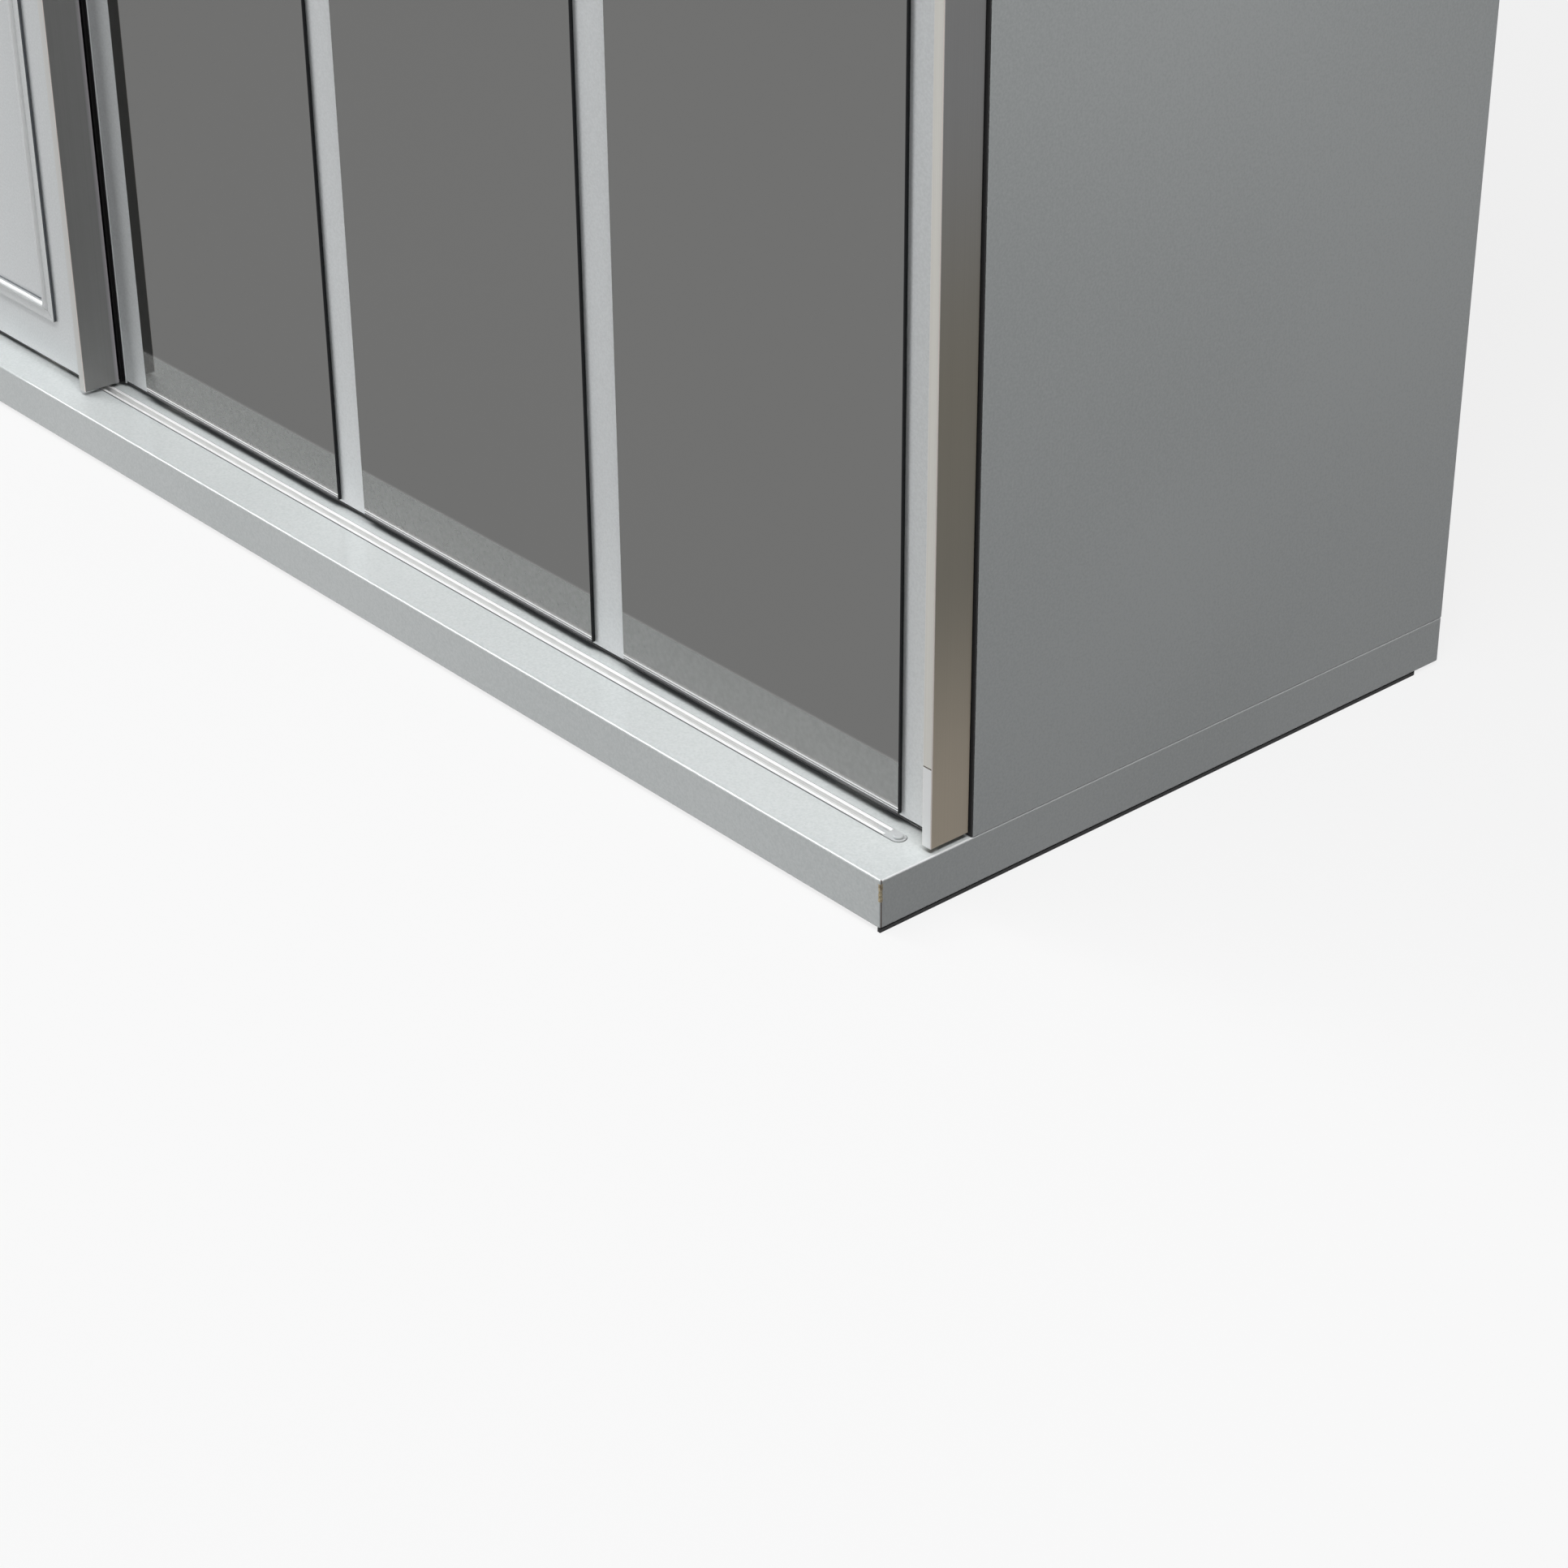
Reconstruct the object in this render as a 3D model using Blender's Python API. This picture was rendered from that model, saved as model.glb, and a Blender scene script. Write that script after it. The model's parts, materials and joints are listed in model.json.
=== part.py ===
"""Two-door sliding wardrobe: boards, running gear, guides and door fittings.

Metres, +Z up. The origin is on the floor under the middle of the wardrobe, and the doors face -Y.
"""

import math
from types import SimpleNamespace

import bmesh
import bpy
from mathutils import Matrix, Vector

# Carcass boards
WIDTH = 2.500
DEPTH = 0.675
HEIGHT = 2.170
BASE_THICK = 0.044
TOP_THICK = 0.044
SIDE_THICK = 0.022
PARTITION_THICK = 0.022
PARTITION_SETBACK = 0.002  # partition's front edge behind the side panels' front edges
ARRIS = 0.0008  # broken edge of the boards
BASE_EDGE = 0.0015  # rounded edge of the base board
FIT = 0.0003  # gap between pieces that touch

# Black strips that the base board stands on
FOOT_HEIGHT = 0.003
FOOT_WIDTH = 0.020
FOOT_TIP = 0.003  # width left at the front corner, where the outer strips are cut on the slant
FOOT_INSET = 0.030  # hidden ends of the strips, inside the base's edge
FOOT_CORNER = 0.003

# Back boards and the H-shaped strip that joins them
BACK_THICK = 0.003
BACK_INSET = 0.017  # rear edge of the sides to the rear face of the back boards
BACK_GROOVE = 0.008
JOINT_WIDTH = 0.026
JOINT_FLANGE = 0.001
JOINT_WEB = 0.002

# Hat shelves and clothes rails
HAT_SPACE = 0.320
SHELF_THICK = 0.018
SHELF_DEPTH = 0.500
TUBE_HEIGHT = 0.030
TUBE_WIDTH = 0.015
TUBE_WALL = 0.001
TUBE_DROP = 0.060  # middle of the tube below the shelf
BRACKET_PLATE = 0.003
BRACKET_REACH = 0.014
BRACKET_WALL = 0.002
BRACKET_RIM = 0.004
BRACKET_HEAD = 0.012  # how far the screw plate rises above the tube's middle

# Doors
DOOR_SETBACK = 0.026  # front door's handle lip behind the front edge of the base
DOOR_SIDE_GAP = 0.003
DOOR_OVERLAP = 0.010
DOOR_FLOOR_GAP = 0.0045
DOOR_PASS = 0.0017  # clearance between the front door's handles and the mirrors
DOOR_REAR_GAP = 0.003  # clearance between the rear door's handle and the side panels
DOOR_TOP_CLEAR = 0.006
DOOR_BOARD = 0.012
BOARD_RAISE = 0.0012  # board's lower edge above the lower end of the handles

# Handle extrusion, which grips the board's edge
HANDLE_WIDTH = 0.0105
LIP_PROUD = 0.0165
HANDLE_BACK = 0.0115
HANDLE_WALL = 0.0015
GROOVE_FLOOR = 0.002
HANDLE_ROUND = 0.0012

# Edge strip of the rear door
EDGE_WIDTH = 0.017
EDGE_WALL = 0.0015
EDGE_RIB_PLACE = 0.0083  # from the door's end to the rib
EDGE_RIB_WIDTH = 0.002
EDGE_RIB_HEIGHT = 0.002

# Mirrors on the rear door
MIRROR_COUNT = 3
GLASS_THICK = 0.004
MIRROR_GAP = 0.044
MIRROR_MARGIN_RIGHT = 0.0505
MIRROR_MARGIN_LEFT = 0.0635
MIRROR_END = 0.0035
GLASS_ARRIS = 0.0005

# Bead frame on the front door
BEAD_SIDE = 0.0765
BEAD_END = 0.050
BEAD_WIDTH = 0.0185
BEAD_HEIGHT = 0.0065
BEAD_ROLL = 0.009  # width of the rounded inner half
BEAD_CREASE = 0.0035  # height of the crease beside it
BEAD_LIP = 0.003  # height of the outer edge

# Top track, wheels and hangers
TRACK_END = 0.004
TRACK_WALL = 0.002
TRACK_FLANGE = 0.0025
TRACK_DROP = 0.051
TRACK_RIDGE = 0.002
TRACK_RIDGE_HALF = 0.0016
TRACK_REAR_GAP = 0.002
TRACK_REAR_LIP = 0.012
FLANGE_PAST = 0.0035
WHEEL_RADIUS = 0.0155
WHEEL_GROOVE = 0.0014
WHEEL_GROOVE_HALF = 0.0024
WHEEL_WIDTH = 0.008
WHEEL_HUB = 0.0075
WHEEL_RIM = 0.0035
WHEEL_RECESS = 0.0015
WHEEL_SETBACK = 0.010  # middle of the wheel in front of the board's rear face
WHEEL_SIDE_CLEAR = 0.003
AXLE_RADIUS = 0.004
AXLE_HEAD_RADIUS = 0.0062
AXLE_HEAD = 0.0016
BORE_CLEAR = 0.0002
HANGER_INSET = 0.150
HANGER_WIDTH = 0.070
HANGER_LAP = 0.060
HANGER_PLATE = 0.0025
HANGER_EYE = 0.011
HANGER_CORNER = 0.006
HANGER_SLOT_PITCH = 0.042
HANGER_SLOT_WIDTH = 0.006
HANGER_SLOT_HEIGHT = 0.022
HANGER_SHOULDER = 0.004  # shoulder of the plate below the door's top

# Track stops and fascia
STOP_LENGTH = 0.025
STOP_HEIGHT = 0.022
STOP_GAP = 0.004
STOP_ROUND = 0.003
TRAVEL_END_GAP = 0.0065
FASCIA_SETBACK = 0.003
FASCIA_THICK = 0.016
FASCIA_OVERLAP = 0.016

# Guide rails let into the base, their end plugs, and the guides under the doors
RAIL_WIDTH = 0.013
RAIL_HEIGHT = 0.010
RAIL_PROUD = 0.0006
RAIL_ROUND = 0.0005
SLOT_WIDTH = 0.006
SLOT_DEPTH = 0.0085
RAIL_END = 0.050
PLUG_LENGTH = 0.0183
PLUG_TONGUE = 0.012
PLUG_TONGUE_DROP = 0.002
PLUG_CAP_INSET = 0.0022
PLUG_CAP_HEIGHT = 0.0022
PLUG_CAP_ROUND = 0.0012
GUIDE_SETBACK = 0.0005  # middle of the rail in front of the board's rear face
GUIDE_INSET = 0.110
GUIDE_LENGTH = 0.060
GUIDE_PLATE = 0.003
GUIDE_FOOT = 0.002
GUIDE_RISE = 0.035
FIN_CLEAR = 0.0008
FIN_TIP_CLEAR = 0.001

# Facets
CORNER_STEPS = 4
ROUND_STEPS = 24
FLAT = 0.0  # corner left sharp
SHARP_DEGREES = 35
MERGE = 0.000003  # doubled points of a turned body

# Levels and depths that follow from the sizes above
right = WIDTH / 2
front = -DEPTH / 2
base_low = FOOT_HEIGHT + FIT
base_top = base_low + BASE_THICK
top_low = HEIGHT - TOP_THICK
back_rear = DEPTH / 2 - BACK_INSET
back_front = back_rear - BACK_THICK
inner_rear = back_front - JOINT_FLANGE - 2 * FIT
handle_depth = LIP_PROUD + DOOR_BOARD + HANDLE_BACK
door_pitch = handle_depth - LIP_PROUD + GLASS_THICK + FIT + DOOR_PASS
side_front = front + DOOR_SETBACK + door_pitch + handle_depth + DOOR_REAR_GAP
side_inner = right - SIDE_THICK
door_width = (WIDTH - 2 * DOOR_SIDE_GAP + DOOR_OVERLAP) / 2
door_low = base_top + DOOR_FLOOR_GAP
board_low = door_low + BOARD_RAISE
flange_top = top_low - FIT - TRACK_DROP
door_top = flange_top - TRACK_FLANGE - DOOR_TOP_CLEAR
axle_height = flange_top + TRACK_RIDGE + FIT + WHEEL_RADIUS - WHEEL_GROOVE
rail_top = base_top + RAIL_PROUD
rail_low = rail_top - RAIL_HEIGHT
slot_low = rail_top - SLOT_DEPTH
rail_reach = right - RAIL_END
shelf_top = top_low - HAT_SPACE
shelf_low = shelf_top - SHELF_THICK
tube_height = shelf_low - TUBE_DROP
tube_depth = (side_front + back_front) / 2

# Axes of the two handednesses of a piece
LEFT = -1
RIGHT = 1

FINISHES = {
    # name: (linear colour, roughness, metallic)
    "silver_laminate": ((0.43, 0.45, 0.45), 0.28, 0.0),
    "grey_door_board": ((0.52, 0.54, 0.55), 0.22, 0.0),
    "grey_mirror": ((0.40, 0.40, 0.39), 0.02, 1.0),
    "warm_aluminium": ((0.56, 0.54, 0.49), 0.30, 1.0),
    "bright_aluminium": ((0.74, 0.75, 0.76), 0.25, 1.0),
    "bead_lacquer": ((0.60, 0.62, 0.62), 0.18, 0.0),
    "white_hardboard": ((0.66, 0.66, 0.63), 0.55, 0.0),
    "zinc_steel": ((0.55, 0.56, 0.57), 0.35, 1.0),
    "chrome": ((0.66, 0.67, 0.68), 0.08, 1.0),
    "white_nylon": ((0.70, 0.70, 0.67), 0.40, 0.0),
    "grey_plastic": ((0.45, 0.46, 0.46), 0.35, 0.0),
    "black_rubber": ((0.015, 0.015, 0.016), 0.75, 0.0),
}


def door(left_end, setback):
    """Places of one door, from its left end and the setback of its handle lip."""
    board_front = front + setback + LIP_PROUD
    board_back = board_front + DOOR_BOARD
    return SimpleNamespace(
        left=left_end,
        right=left_end + door_width,
        lip=front + setback,
        board_front=board_front,
        board_back=board_back,
        wheel_y=board_back - WHEEL_SETBACK,
        rail_y=board_back - GUIDE_SETBACK,
        hangers=(left_end + HANGER_INSET, left_end + door_width - HANGER_INSET),
        guides=(left_end + GUIDE_INSET, left_end + door_width - GUIDE_INSET),
    )


front_door = door(-right + DOOR_SIDE_GAP, DOOR_SETBACK)
rear_door = door(right - DOOR_SIDE_GAP - door_width, DOOR_SETBACK + door_pitch)
travel = rear_door.right - HANDLE_WIDTH - front_door.right - TRAVEL_END_GAP


def clear_scene():
    for obj in list(bpy.data.objects):
        bpy.data.objects.remove(obj, do_unlink=True)


def make_materials():
    made = {}
    for name, (colour, roughness, metallic) in FINISHES.items():
        material = bpy.data.materials.new(name)
        material.use_nodes = True
        shader = material.node_tree.nodes["Principled BSDF"]
        shader.inputs["Base Color"].default_value = (*colour, 1.0)
        shader.inputs["Roughness"].default_value = roughness
        shader.inputs["Metallic"].default_value = metallic
        made[name] = material
    return made


def arc(centre, radius, start, end, steps=CORNER_STEPS):
    """Points of an arc about centre, its angles in degrees."""
    turns = [math.radians(start + (end - start) * i / steps) for i in range(steps + 1)]
    return [(centre[0] + radius * math.cos(t), centre[1] + radius * math.sin(t)) for t in turns]


def rounded(corners):
    """Outline through (a, b, radius) corners, each rounded by an arc that touches both its sides."""
    outline = []
    for i, (a, b, radius) in enumerate(corners):
        here = Vector((a, b))
        if radius == FLAT:
            outline.append((a, b))
            continue
        before = (Vector(corners[i - 1][:2]) - here).normalized()
        after = (Vector(corners[(i + 1) % len(corners)][:2]) - here).normalized()
        half = before.angle(after) / 2
        centre = here + (before + after).normalized() * radius / math.sin(half)
        first = here + before * radius / math.tan(half) - centre
        sweep = first.angle_signed(here + after * radius / math.tan(half) - centre)
        for step in range(CORNER_STEPS + 1):
            turned = Matrix.Rotation(-sweep * step / CORNER_STEPS, 2) @ first
            outline.append(tuple(centre + turned))
    return outline


def slot_outline(centre, half_width, half_run):
    """Round-ended outline, half_run from its middle to the centre of each round end, along b."""
    a, b = centre
    upper = arc((a, b + half_run), half_width, 0, 180, 2 * CORNER_STEPS)
    lower = arc((a, b - half_run), half_width, 180, 360, 2 * CORNER_STEPS)
    return upper + lower


def to_mesh(bm, name):
    bmesh.ops.recalc_face_normals(bm, faces=bm.faces)
    mesh = bpy.data.meshes.new(name)
    bm.to_mesh(mesh)
    bm.free()
    return mesh


def extrude(name, along, start, end, outline, *holes):
    """Prism of an outline less its holes. The outline is (y, z) along X, (x, z) along Y, (x, y) along Z."""
    place = {
        "X": lambda a, b: (start, a, b),
        "Y": lambda a, b: (a, start, b),
        "Z": lambda a, b: (a, b, start),
    }[along]
    run = Vector(["XYZ".index(along) == axis for axis in range(3)]) * (end - start)
    bm = bmesh.new()
    edges = []
    for loop in (outline, *holes):
        ring = [bm.verts.new(place(a, b)) for a, b in loop]
        edges += [bm.edges.new((ring[i - 1], ring[i])) for i in range(len(ring))]
    bmesh.ops.triangle_fill(bm, edges=edges, use_beauty=True)
    grown = bmesh.ops.extrude_face_region(bm, geom=bm.faces[:])
    far = [item for item in grown["geom"] if isinstance(item, bmesh.types.BMVert)]
    bmesh.ops.translate(bm, verts=far, vec=run)
    return to_mesh(bm, name)


def board(name, low, high, arris=ARRIS, steps=1):
    """Flat board between two corners, with its edges broken, or rounded in a few steps."""
    bm = bmesh.new()
    bmesh.ops.create_cube(bm, size=1.0)
    size = Vector(high) - Vector(low)
    bmesh.ops.scale(bm, verts=bm.verts, vec=size)
    bmesh.ops.translate(bm, verts=bm.verts, vec=Vector(low) + size / 2)
    bmesh.ops.bevel(bm, geom=bm.edges[:], offset=arris, segments=steps, profile=0.5, affect="EDGES")
    return to_mesh(bm, name)


def revolve(name, profile, axis):
    """Body turned about axis Y or Z from (radius, height) points. A profile off the axis closes to a ring."""
    bm = bmesh.new()
    turn = Vector((0, 1, 0)) if axis == "Y" else Vector((0, 0, 1))
    points = [Vector((radius, 0, 0)) + turn * height for radius, height in profile]
    verts = [bm.verts.new(point) for point in points]
    solid = profile[0][0] == 0
    edges = [bm.edges.new((verts[i - 1], verts[i])) for i in range(1 if solid else 0, len(verts))]
    bmesh.ops.spin(
        bm, geom=verts + edges, cent=(0, 0, 0), axis=turn, angle=math.tau, steps=ROUND_STEPS, use_merge=True
    )
    bmesh.ops.remove_doubles(bm, verts=bm.verts, dist=MERGE)
    return to_mesh(bm, name)


def combined(name, operation, first, *others):
    """First mesh joined with, or cut by, the others."""
    base = bpy.data.objects.new(name, first)
    bpy.context.scene.collection.objects.link(base)
    helpers = []
    for other in others:
        helper = bpy.data.objects.new(name + "_helper", other)
        helper.hide_render = True
        helper.display_type = "WIRE"
        bpy.context.scene.collection.objects.link(helper)
        modifier = base.modifiers.new(operation.lower(), "BOOLEAN")
        modifier.operation = operation
        modifier.solver = "EXACT"
        modifier.object = helper
        helpers.append(helper)
    seen = base.evaluated_get(bpy.context.evaluated_depsgraph_get())
    mesh = bpy.data.meshes.new_from_object(seen)
    mesh.name = name
    for obj in (base, *helpers):
        bpy.data.objects.remove(obj, do_unlink=True)
    return mesh


def place(name, mesh, finish, carrier, location=(0, 0, 0), turn=0.0, smooth=False):
    """Adds one named piece, carried by an empty."""
    if smooth:
        mesh.shade_smooth()
        mesh.set_sharp_from_angle(angle=math.radians(SHARP_DEGREES))
    if not mesh.materials:
        mesh.materials.append(materials[finish])
    obj = bpy.data.objects.new(name, mesh)
    bpy.context.scene.collection.objects.link(obj)
    obj.location = location
    obj.rotation_euler.z = turn
    obj.parent = carrier
    obj.matrix_parent_inverse = Matrix.Translation(carrier.location).inverted()
    return obj


def make_carrier(name, location):
    empty = bpy.data.objects.new(name, None)
    empty.location = location
    bpy.context.scene.collection.objects.link(empty)
    return empty


def make_base():
    """Thick base board with two round-ended grooves for the guide rails, on three foot strips."""
    slab = board("base_board", (-right, front, base_low), (right, -front, base_top), BASE_EDGE, CORNER_STEPS)
    grooves = []
    half_width = RAIL_WIDTH / 2 + FIT
    half_run = rail_reach + PLUG_LENGTH + FIT - half_width
    for name, one in (("front", front_door), ("rear", rear_door)):
        across = slot_outline((one.rail_y, 0), half_width, half_run)
        outline = [(b, a) for a, b in across]
        grooves.append(extrude(name + "_groove", "Z", rail_low - FIT, base_top + BASE_THICK, outline))
    place("base_panel", combined("base_panel", "DIFFERENCE", slab, *grooves), "silver_laminate", carcass)

    rear_end = -front - FOOT_INSET
    half = FOOT_WIDTH / 2
    outlines = {
        "middle": [
            (-half, front + FOOT_INSET, FOOT_CORNER),
            (half, front + FOOT_INSET, FOOT_CORNER),
            (half, rear_end, FOOT_CORNER),
            (-half, rear_end, FOOT_CORNER),
        ]
    }
    for where, hand in (("left", LEFT), ("right", RIGHT)):
        outlines[where] = [
            (hand * right, front, FLAT),
            (hand * (right - FOOT_TIP), front, FLAT),
            (hand * (right - FOOT_WIDTH), front + FOOT_WIDTH - FOOT_TIP, FLAT),
            (hand * (right - FOOT_WIDTH), rear_end, FOOT_CORNER),
            (hand * right, rear_end, FOOT_CORNER),
        ]
    for where, corners in outlines.items():
        mesh = extrude("foot_strip_" + where, "Z", 0.0, FOOT_HEIGHT, rounded(corners))
        place("foot_strip_" + where, mesh, "black_rubber", carcass)


def make_uprights():
    """Side panels grooved for the back boards, the partition, the top and the back."""
    low_z = base_top + FIT
    high_z = top_low - FIT
    for where, hand in (("left", LEFT), ("right", RIGHT)):
        corners = [
            (hand * right, side_front, ARRIS),
            (hand * right, -front, ARRIS),
            (hand * side_inner, -front, FLAT),
            (hand * side_inner, back_rear + FIT, FLAT),
            (hand * (side_inner + BACK_GROOVE), back_rear + FIT, FLAT),
            (hand * (side_inner + BACK_GROOVE), back_front - FIT, FLAT),
            (hand * side_inner, back_front - FIT, FLAT),
            (hand * side_inner, side_front, ARRIS),
        ]
        mesh = extrude("side_panel_" + where, "Z", low_z, high_z, rounded(corners))
        place("side_panel_" + where, mesh, "silver_laminate", carcass)

        ends = sorted((hand * (JOINT_WEB / 2 + FIT), hand * (side_inner + BACK_GROOVE - FIT)))
        mesh = extrude(
            "back_panel_" + where,
            "Z",
            low_z,
            high_z,
            [(ends[0], back_front), (ends[1], back_front), (ends[1], back_rear), (ends[0], back_rear)],
        )
        place("back_panel_" + where, mesh, "white_hardboard", carcass)

    half = PARTITION_THICK / 2
    mesh = board(
        "centre_partition",
        (-half, side_front + PARTITION_SETBACK, low_z),
        (half, inner_rear, high_z),
    )
    place("centre_partition", mesh, "silver_laminate", carcass)
    mesh = board("top_panel", (-right, front, top_low), (right, -front, HEIGHT))
    place("top_panel", mesh, "silver_laminate", carcass)

    flange = JOINT_WIDTH / 2
    web = JOINT_WEB / 2
    inside = back_front - FIT
    outside = back_rear + FIT
    outline = [
        (-flange, inside - JOINT_FLANGE),
        (flange, inside - JOINT_FLANGE),
        (flange, inside),
        (web, inside),
        (web, outside),
        (flange, outside),
        (flange, outside + JOINT_FLANGE),
        (-flange, outside + JOINT_FLANGE),
        (-flange, outside),
        (-web, outside),
        (-web, inside),
        (-flange, inside),
    ]
    mesh = extrude("back_joint_strip", "Z", low_z, high_z, outline)
    place("back_joint_strip", mesh, "white_nylon", carcass)


def bracket_mesh():
    """Screw plate with an open cup that the clothes rail drops into. It grows along +X from its panel."""
    straight = (TUBE_HEIGHT - TUBE_WIDTH) / 2
    cup_in = TUBE_WIDTH / 2 + FIT
    cup_out = cup_in + BRACKET_WALL
    plate_half = cup_out + BRACKET_RIM
    outline = arc((0, straight + BRACKET_HEAD), plate_half, 0, 180, 2 * CORNER_STEPS)
    outline += arc((0, -straight), plate_half, 180, 360, 2 * CORNER_STEPS)
    plate = extrude("plate", "X", 0.0, BRACKET_PLATE, outline)
    cup = [(-cup_out, straight)] + arc((0, -straight), cup_out, 180, 360, 2 * CORNER_STEPS)
    cup += [(cup_out, straight), (cup_in, straight)]
    cup += arc((0, -straight), cup_in, 360, 180, 2 * CORNER_STEPS) + [(-cup_in, straight)]
    walls = extrude("cup", "X", BRACKET_PLATE / 2, BRACKET_REACH, cup)
    return combined("rail_bracket", "UNION", plate, walls)


def make_interior():
    """Hat shelf, clothes rail and its two brackets in each bay."""
    partition_face = PARTITION_THICK / 2
    straight = (TUBE_HEIGHT - TUBE_WIDTH) / 2
    bracket = bracket_mesh()
    tube_inset = FIT + BRACKET_PLATE + FIT
    for where, hand in (("left", LEFT), ("right", RIGHT)):
        ends = sorted((hand * partition_face, hand * side_inner))
        mesh = board(
            "hat_shelf_" + where,
            (ends[0] + FIT, inner_rear - SHELF_DEPTH, shelf_low),
            (ends[1] - FIT, inner_rear, shelf_top),
        )
        place("hat_shelf_" + where, mesh, "silver_laminate", carcass)
        middle = (tube_depth, tube_height)
        mesh = extrude(
            "clothes_rail_" + where,
            "X",
            ends[0] + tube_inset,
            ends[1] - tube_inset,
            slot_outline(middle, TUBE_WIDTH / 2, straight),
            slot_outline(middle, TUBE_WIDTH / 2 - TUBE_WALL, straight),
        )
        place("clothes_rail_" + where, mesh, "chrome", carcass, smooth=True)
        for end, x, turn in (("left", ends[0] + FIT, 0.0), ("right", ends[1] - FIT, math.pi)):
            name = f"rail_bracket_{where}_bay_{end}"
            place(name, bracket, "zinc_steel", carcass, (x, tube_depth, tube_height), turn)


def make_track():
    """Two-lane aluminium track under the top panel, its fascia, and the stops in its lanes."""
    track_top = top_low - FIT
    plate_low = track_top - TRACK_WALL
    flange_low = flange_top - TRACK_FLANGE
    rear_edge = side_front - TRACK_REAR_GAP
    outline = [
        (rear_edge, track_top),
        (rear_edge, track_top - TRACK_REAR_LIP),
        (rear_edge - TRACK_WALL, track_top - TRACK_REAR_LIP),
        (rear_edge - TRACK_WALL, plate_low),
    ]
    for lane, last in ((rear_door, False), (front_door, True)):
        web_face = lane.wheel_y - WHEEL_WIDTH / 2 - WHEEL_SIDE_CLEAR
        edge = lane.wheel_y + WHEEL_WIDTH / 2 + FLANGE_PAST
        crown = flange_top + TRACK_RIDGE - TRACK_RIDGE_HALF
        outline += [(web_face, plate_low), (web_face, flange_top)]
        outline += [(lane.wheel_y - TRACK_RIDGE_HALF, flange_top)]
        outline += arc((lane.wheel_y, crown), TRACK_RIDGE_HALF, 180, 0, 2 * CORNER_STEPS)
        outline += [(lane.wheel_y + TRACK_RIDGE_HALF, flange_top)]
        outline += [(edge, flange_top), (edge, flange_low), (web_face - TRACK_WALL, flange_low)]
        outline += [(web_face - TRACK_WALL, track_top if last else plate_low)]
    mesh = extrude("top_track", "X", -right + TRACK_END, right - TRACK_END, outline)
    place("top_track", mesh, "bright_aluminium", carcass)

    mesh = board(
        "track_fascia",
        (-right, front + FASCIA_SETBACK, door_top - FASCIA_OVERLAP),
        (right, front + FASCIA_SETBACK + FASCIA_THICK, top_low - FIT),
    )
    place("track_fascia", mesh, "silver_laminate", carcass)

    rim = WHEEL_RADIUS + STOP_GAP
    stops = {
        "track_stop_front_left": (front_door, front_door.hangers[0] - rim - STOP_LENGTH),
        "track_stop_front_right": (front_door, front_door.hangers[1] + travel + rim),
        "track_stop_rear_left": (rear_door, rear_door.hangers[0] - travel - rim - STOP_LENGTH),
        "track_stop_rear_right": (rear_door, rear_door.hangers[1] + rim),
    }
    low_z = flange_top + FIT
    for name, (lane, start) in stops.items():
        near = lane.wheel_y - WHEEL_WIDTH / 2 - WHEEL_SIDE_CLEAR + FIT
        far = lane.wheel_y + WHEEL_WIDTH / 2 + FLANGE_PAST
        notch = TRACK_RIDGE_HALF + FIT
        corners = [
            (near, low_z, FLAT),
            (lane.wheel_y - notch, low_z, FLAT),
            (lane.wheel_y - notch, low_z + TRACK_RIDGE, FLAT),
            (lane.wheel_y + notch, low_z + TRACK_RIDGE, FLAT),
            (lane.wheel_y + notch, low_z, FLAT),
            (far, low_z, FLAT),
            (far, low_z + STOP_HEIGHT, STOP_ROUND),
            (near, low_z + STOP_HEIGHT, STOP_ROUND),
        ]
        mesh = extrude(name, "X", start, start + STOP_LENGTH, rounded(corners))
        place(name, mesh, "black_rubber", carcass)


def plug_mesh():
    """Plug for a rail end, along +X: a round-ended body, a tongue in the rail's slot, a raised round tip."""
    half = RAIL_WIDTH / 2
    top = RAIL_PROUD
    tip = (PLUG_LENGTH - half, 0)
    outline = [(FIT, -half)] + arc(tip, half, -90, 90, 2 * CORNER_STEPS) + [(FIT, half)]
    body = extrude("plug_body", "Z", top - RAIL_HEIGHT, top, outline)
    tongue_half = SLOT_WIDTH / 2 - FIT
    outline = [(-PLUG_TONGUE, -tongue_half), (tip[0], -tongue_half)]
    outline += [(tip[0], tongue_half), (-PLUG_TONGUE, tongue_half)]
    tongue = extrude("plug_tongue", "Z", top - SLOT_DEPTH + FIT, top - PLUG_TONGUE_DROP, outline)
    cap = half - PLUG_CAP_INSET
    height = top + PLUG_CAP_HEIGHT
    crown = arc((cap - PLUG_CAP_ROUND, height - PLUG_CAP_ROUND), PLUG_CAP_ROUND, 90, 0)
    profile = [(0, height)] + crown + [(cap, top - PLUG_CAP_HEIGHT), (0, top - PLUG_CAP_HEIGHT)]
    raised = revolve("plug_cap", profile, "Z")
    raised.transform(Matrix.Translation((tip[0], 0, 0)))
    return combined("rail_plug", "UNION", body, tongue, raised)


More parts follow.
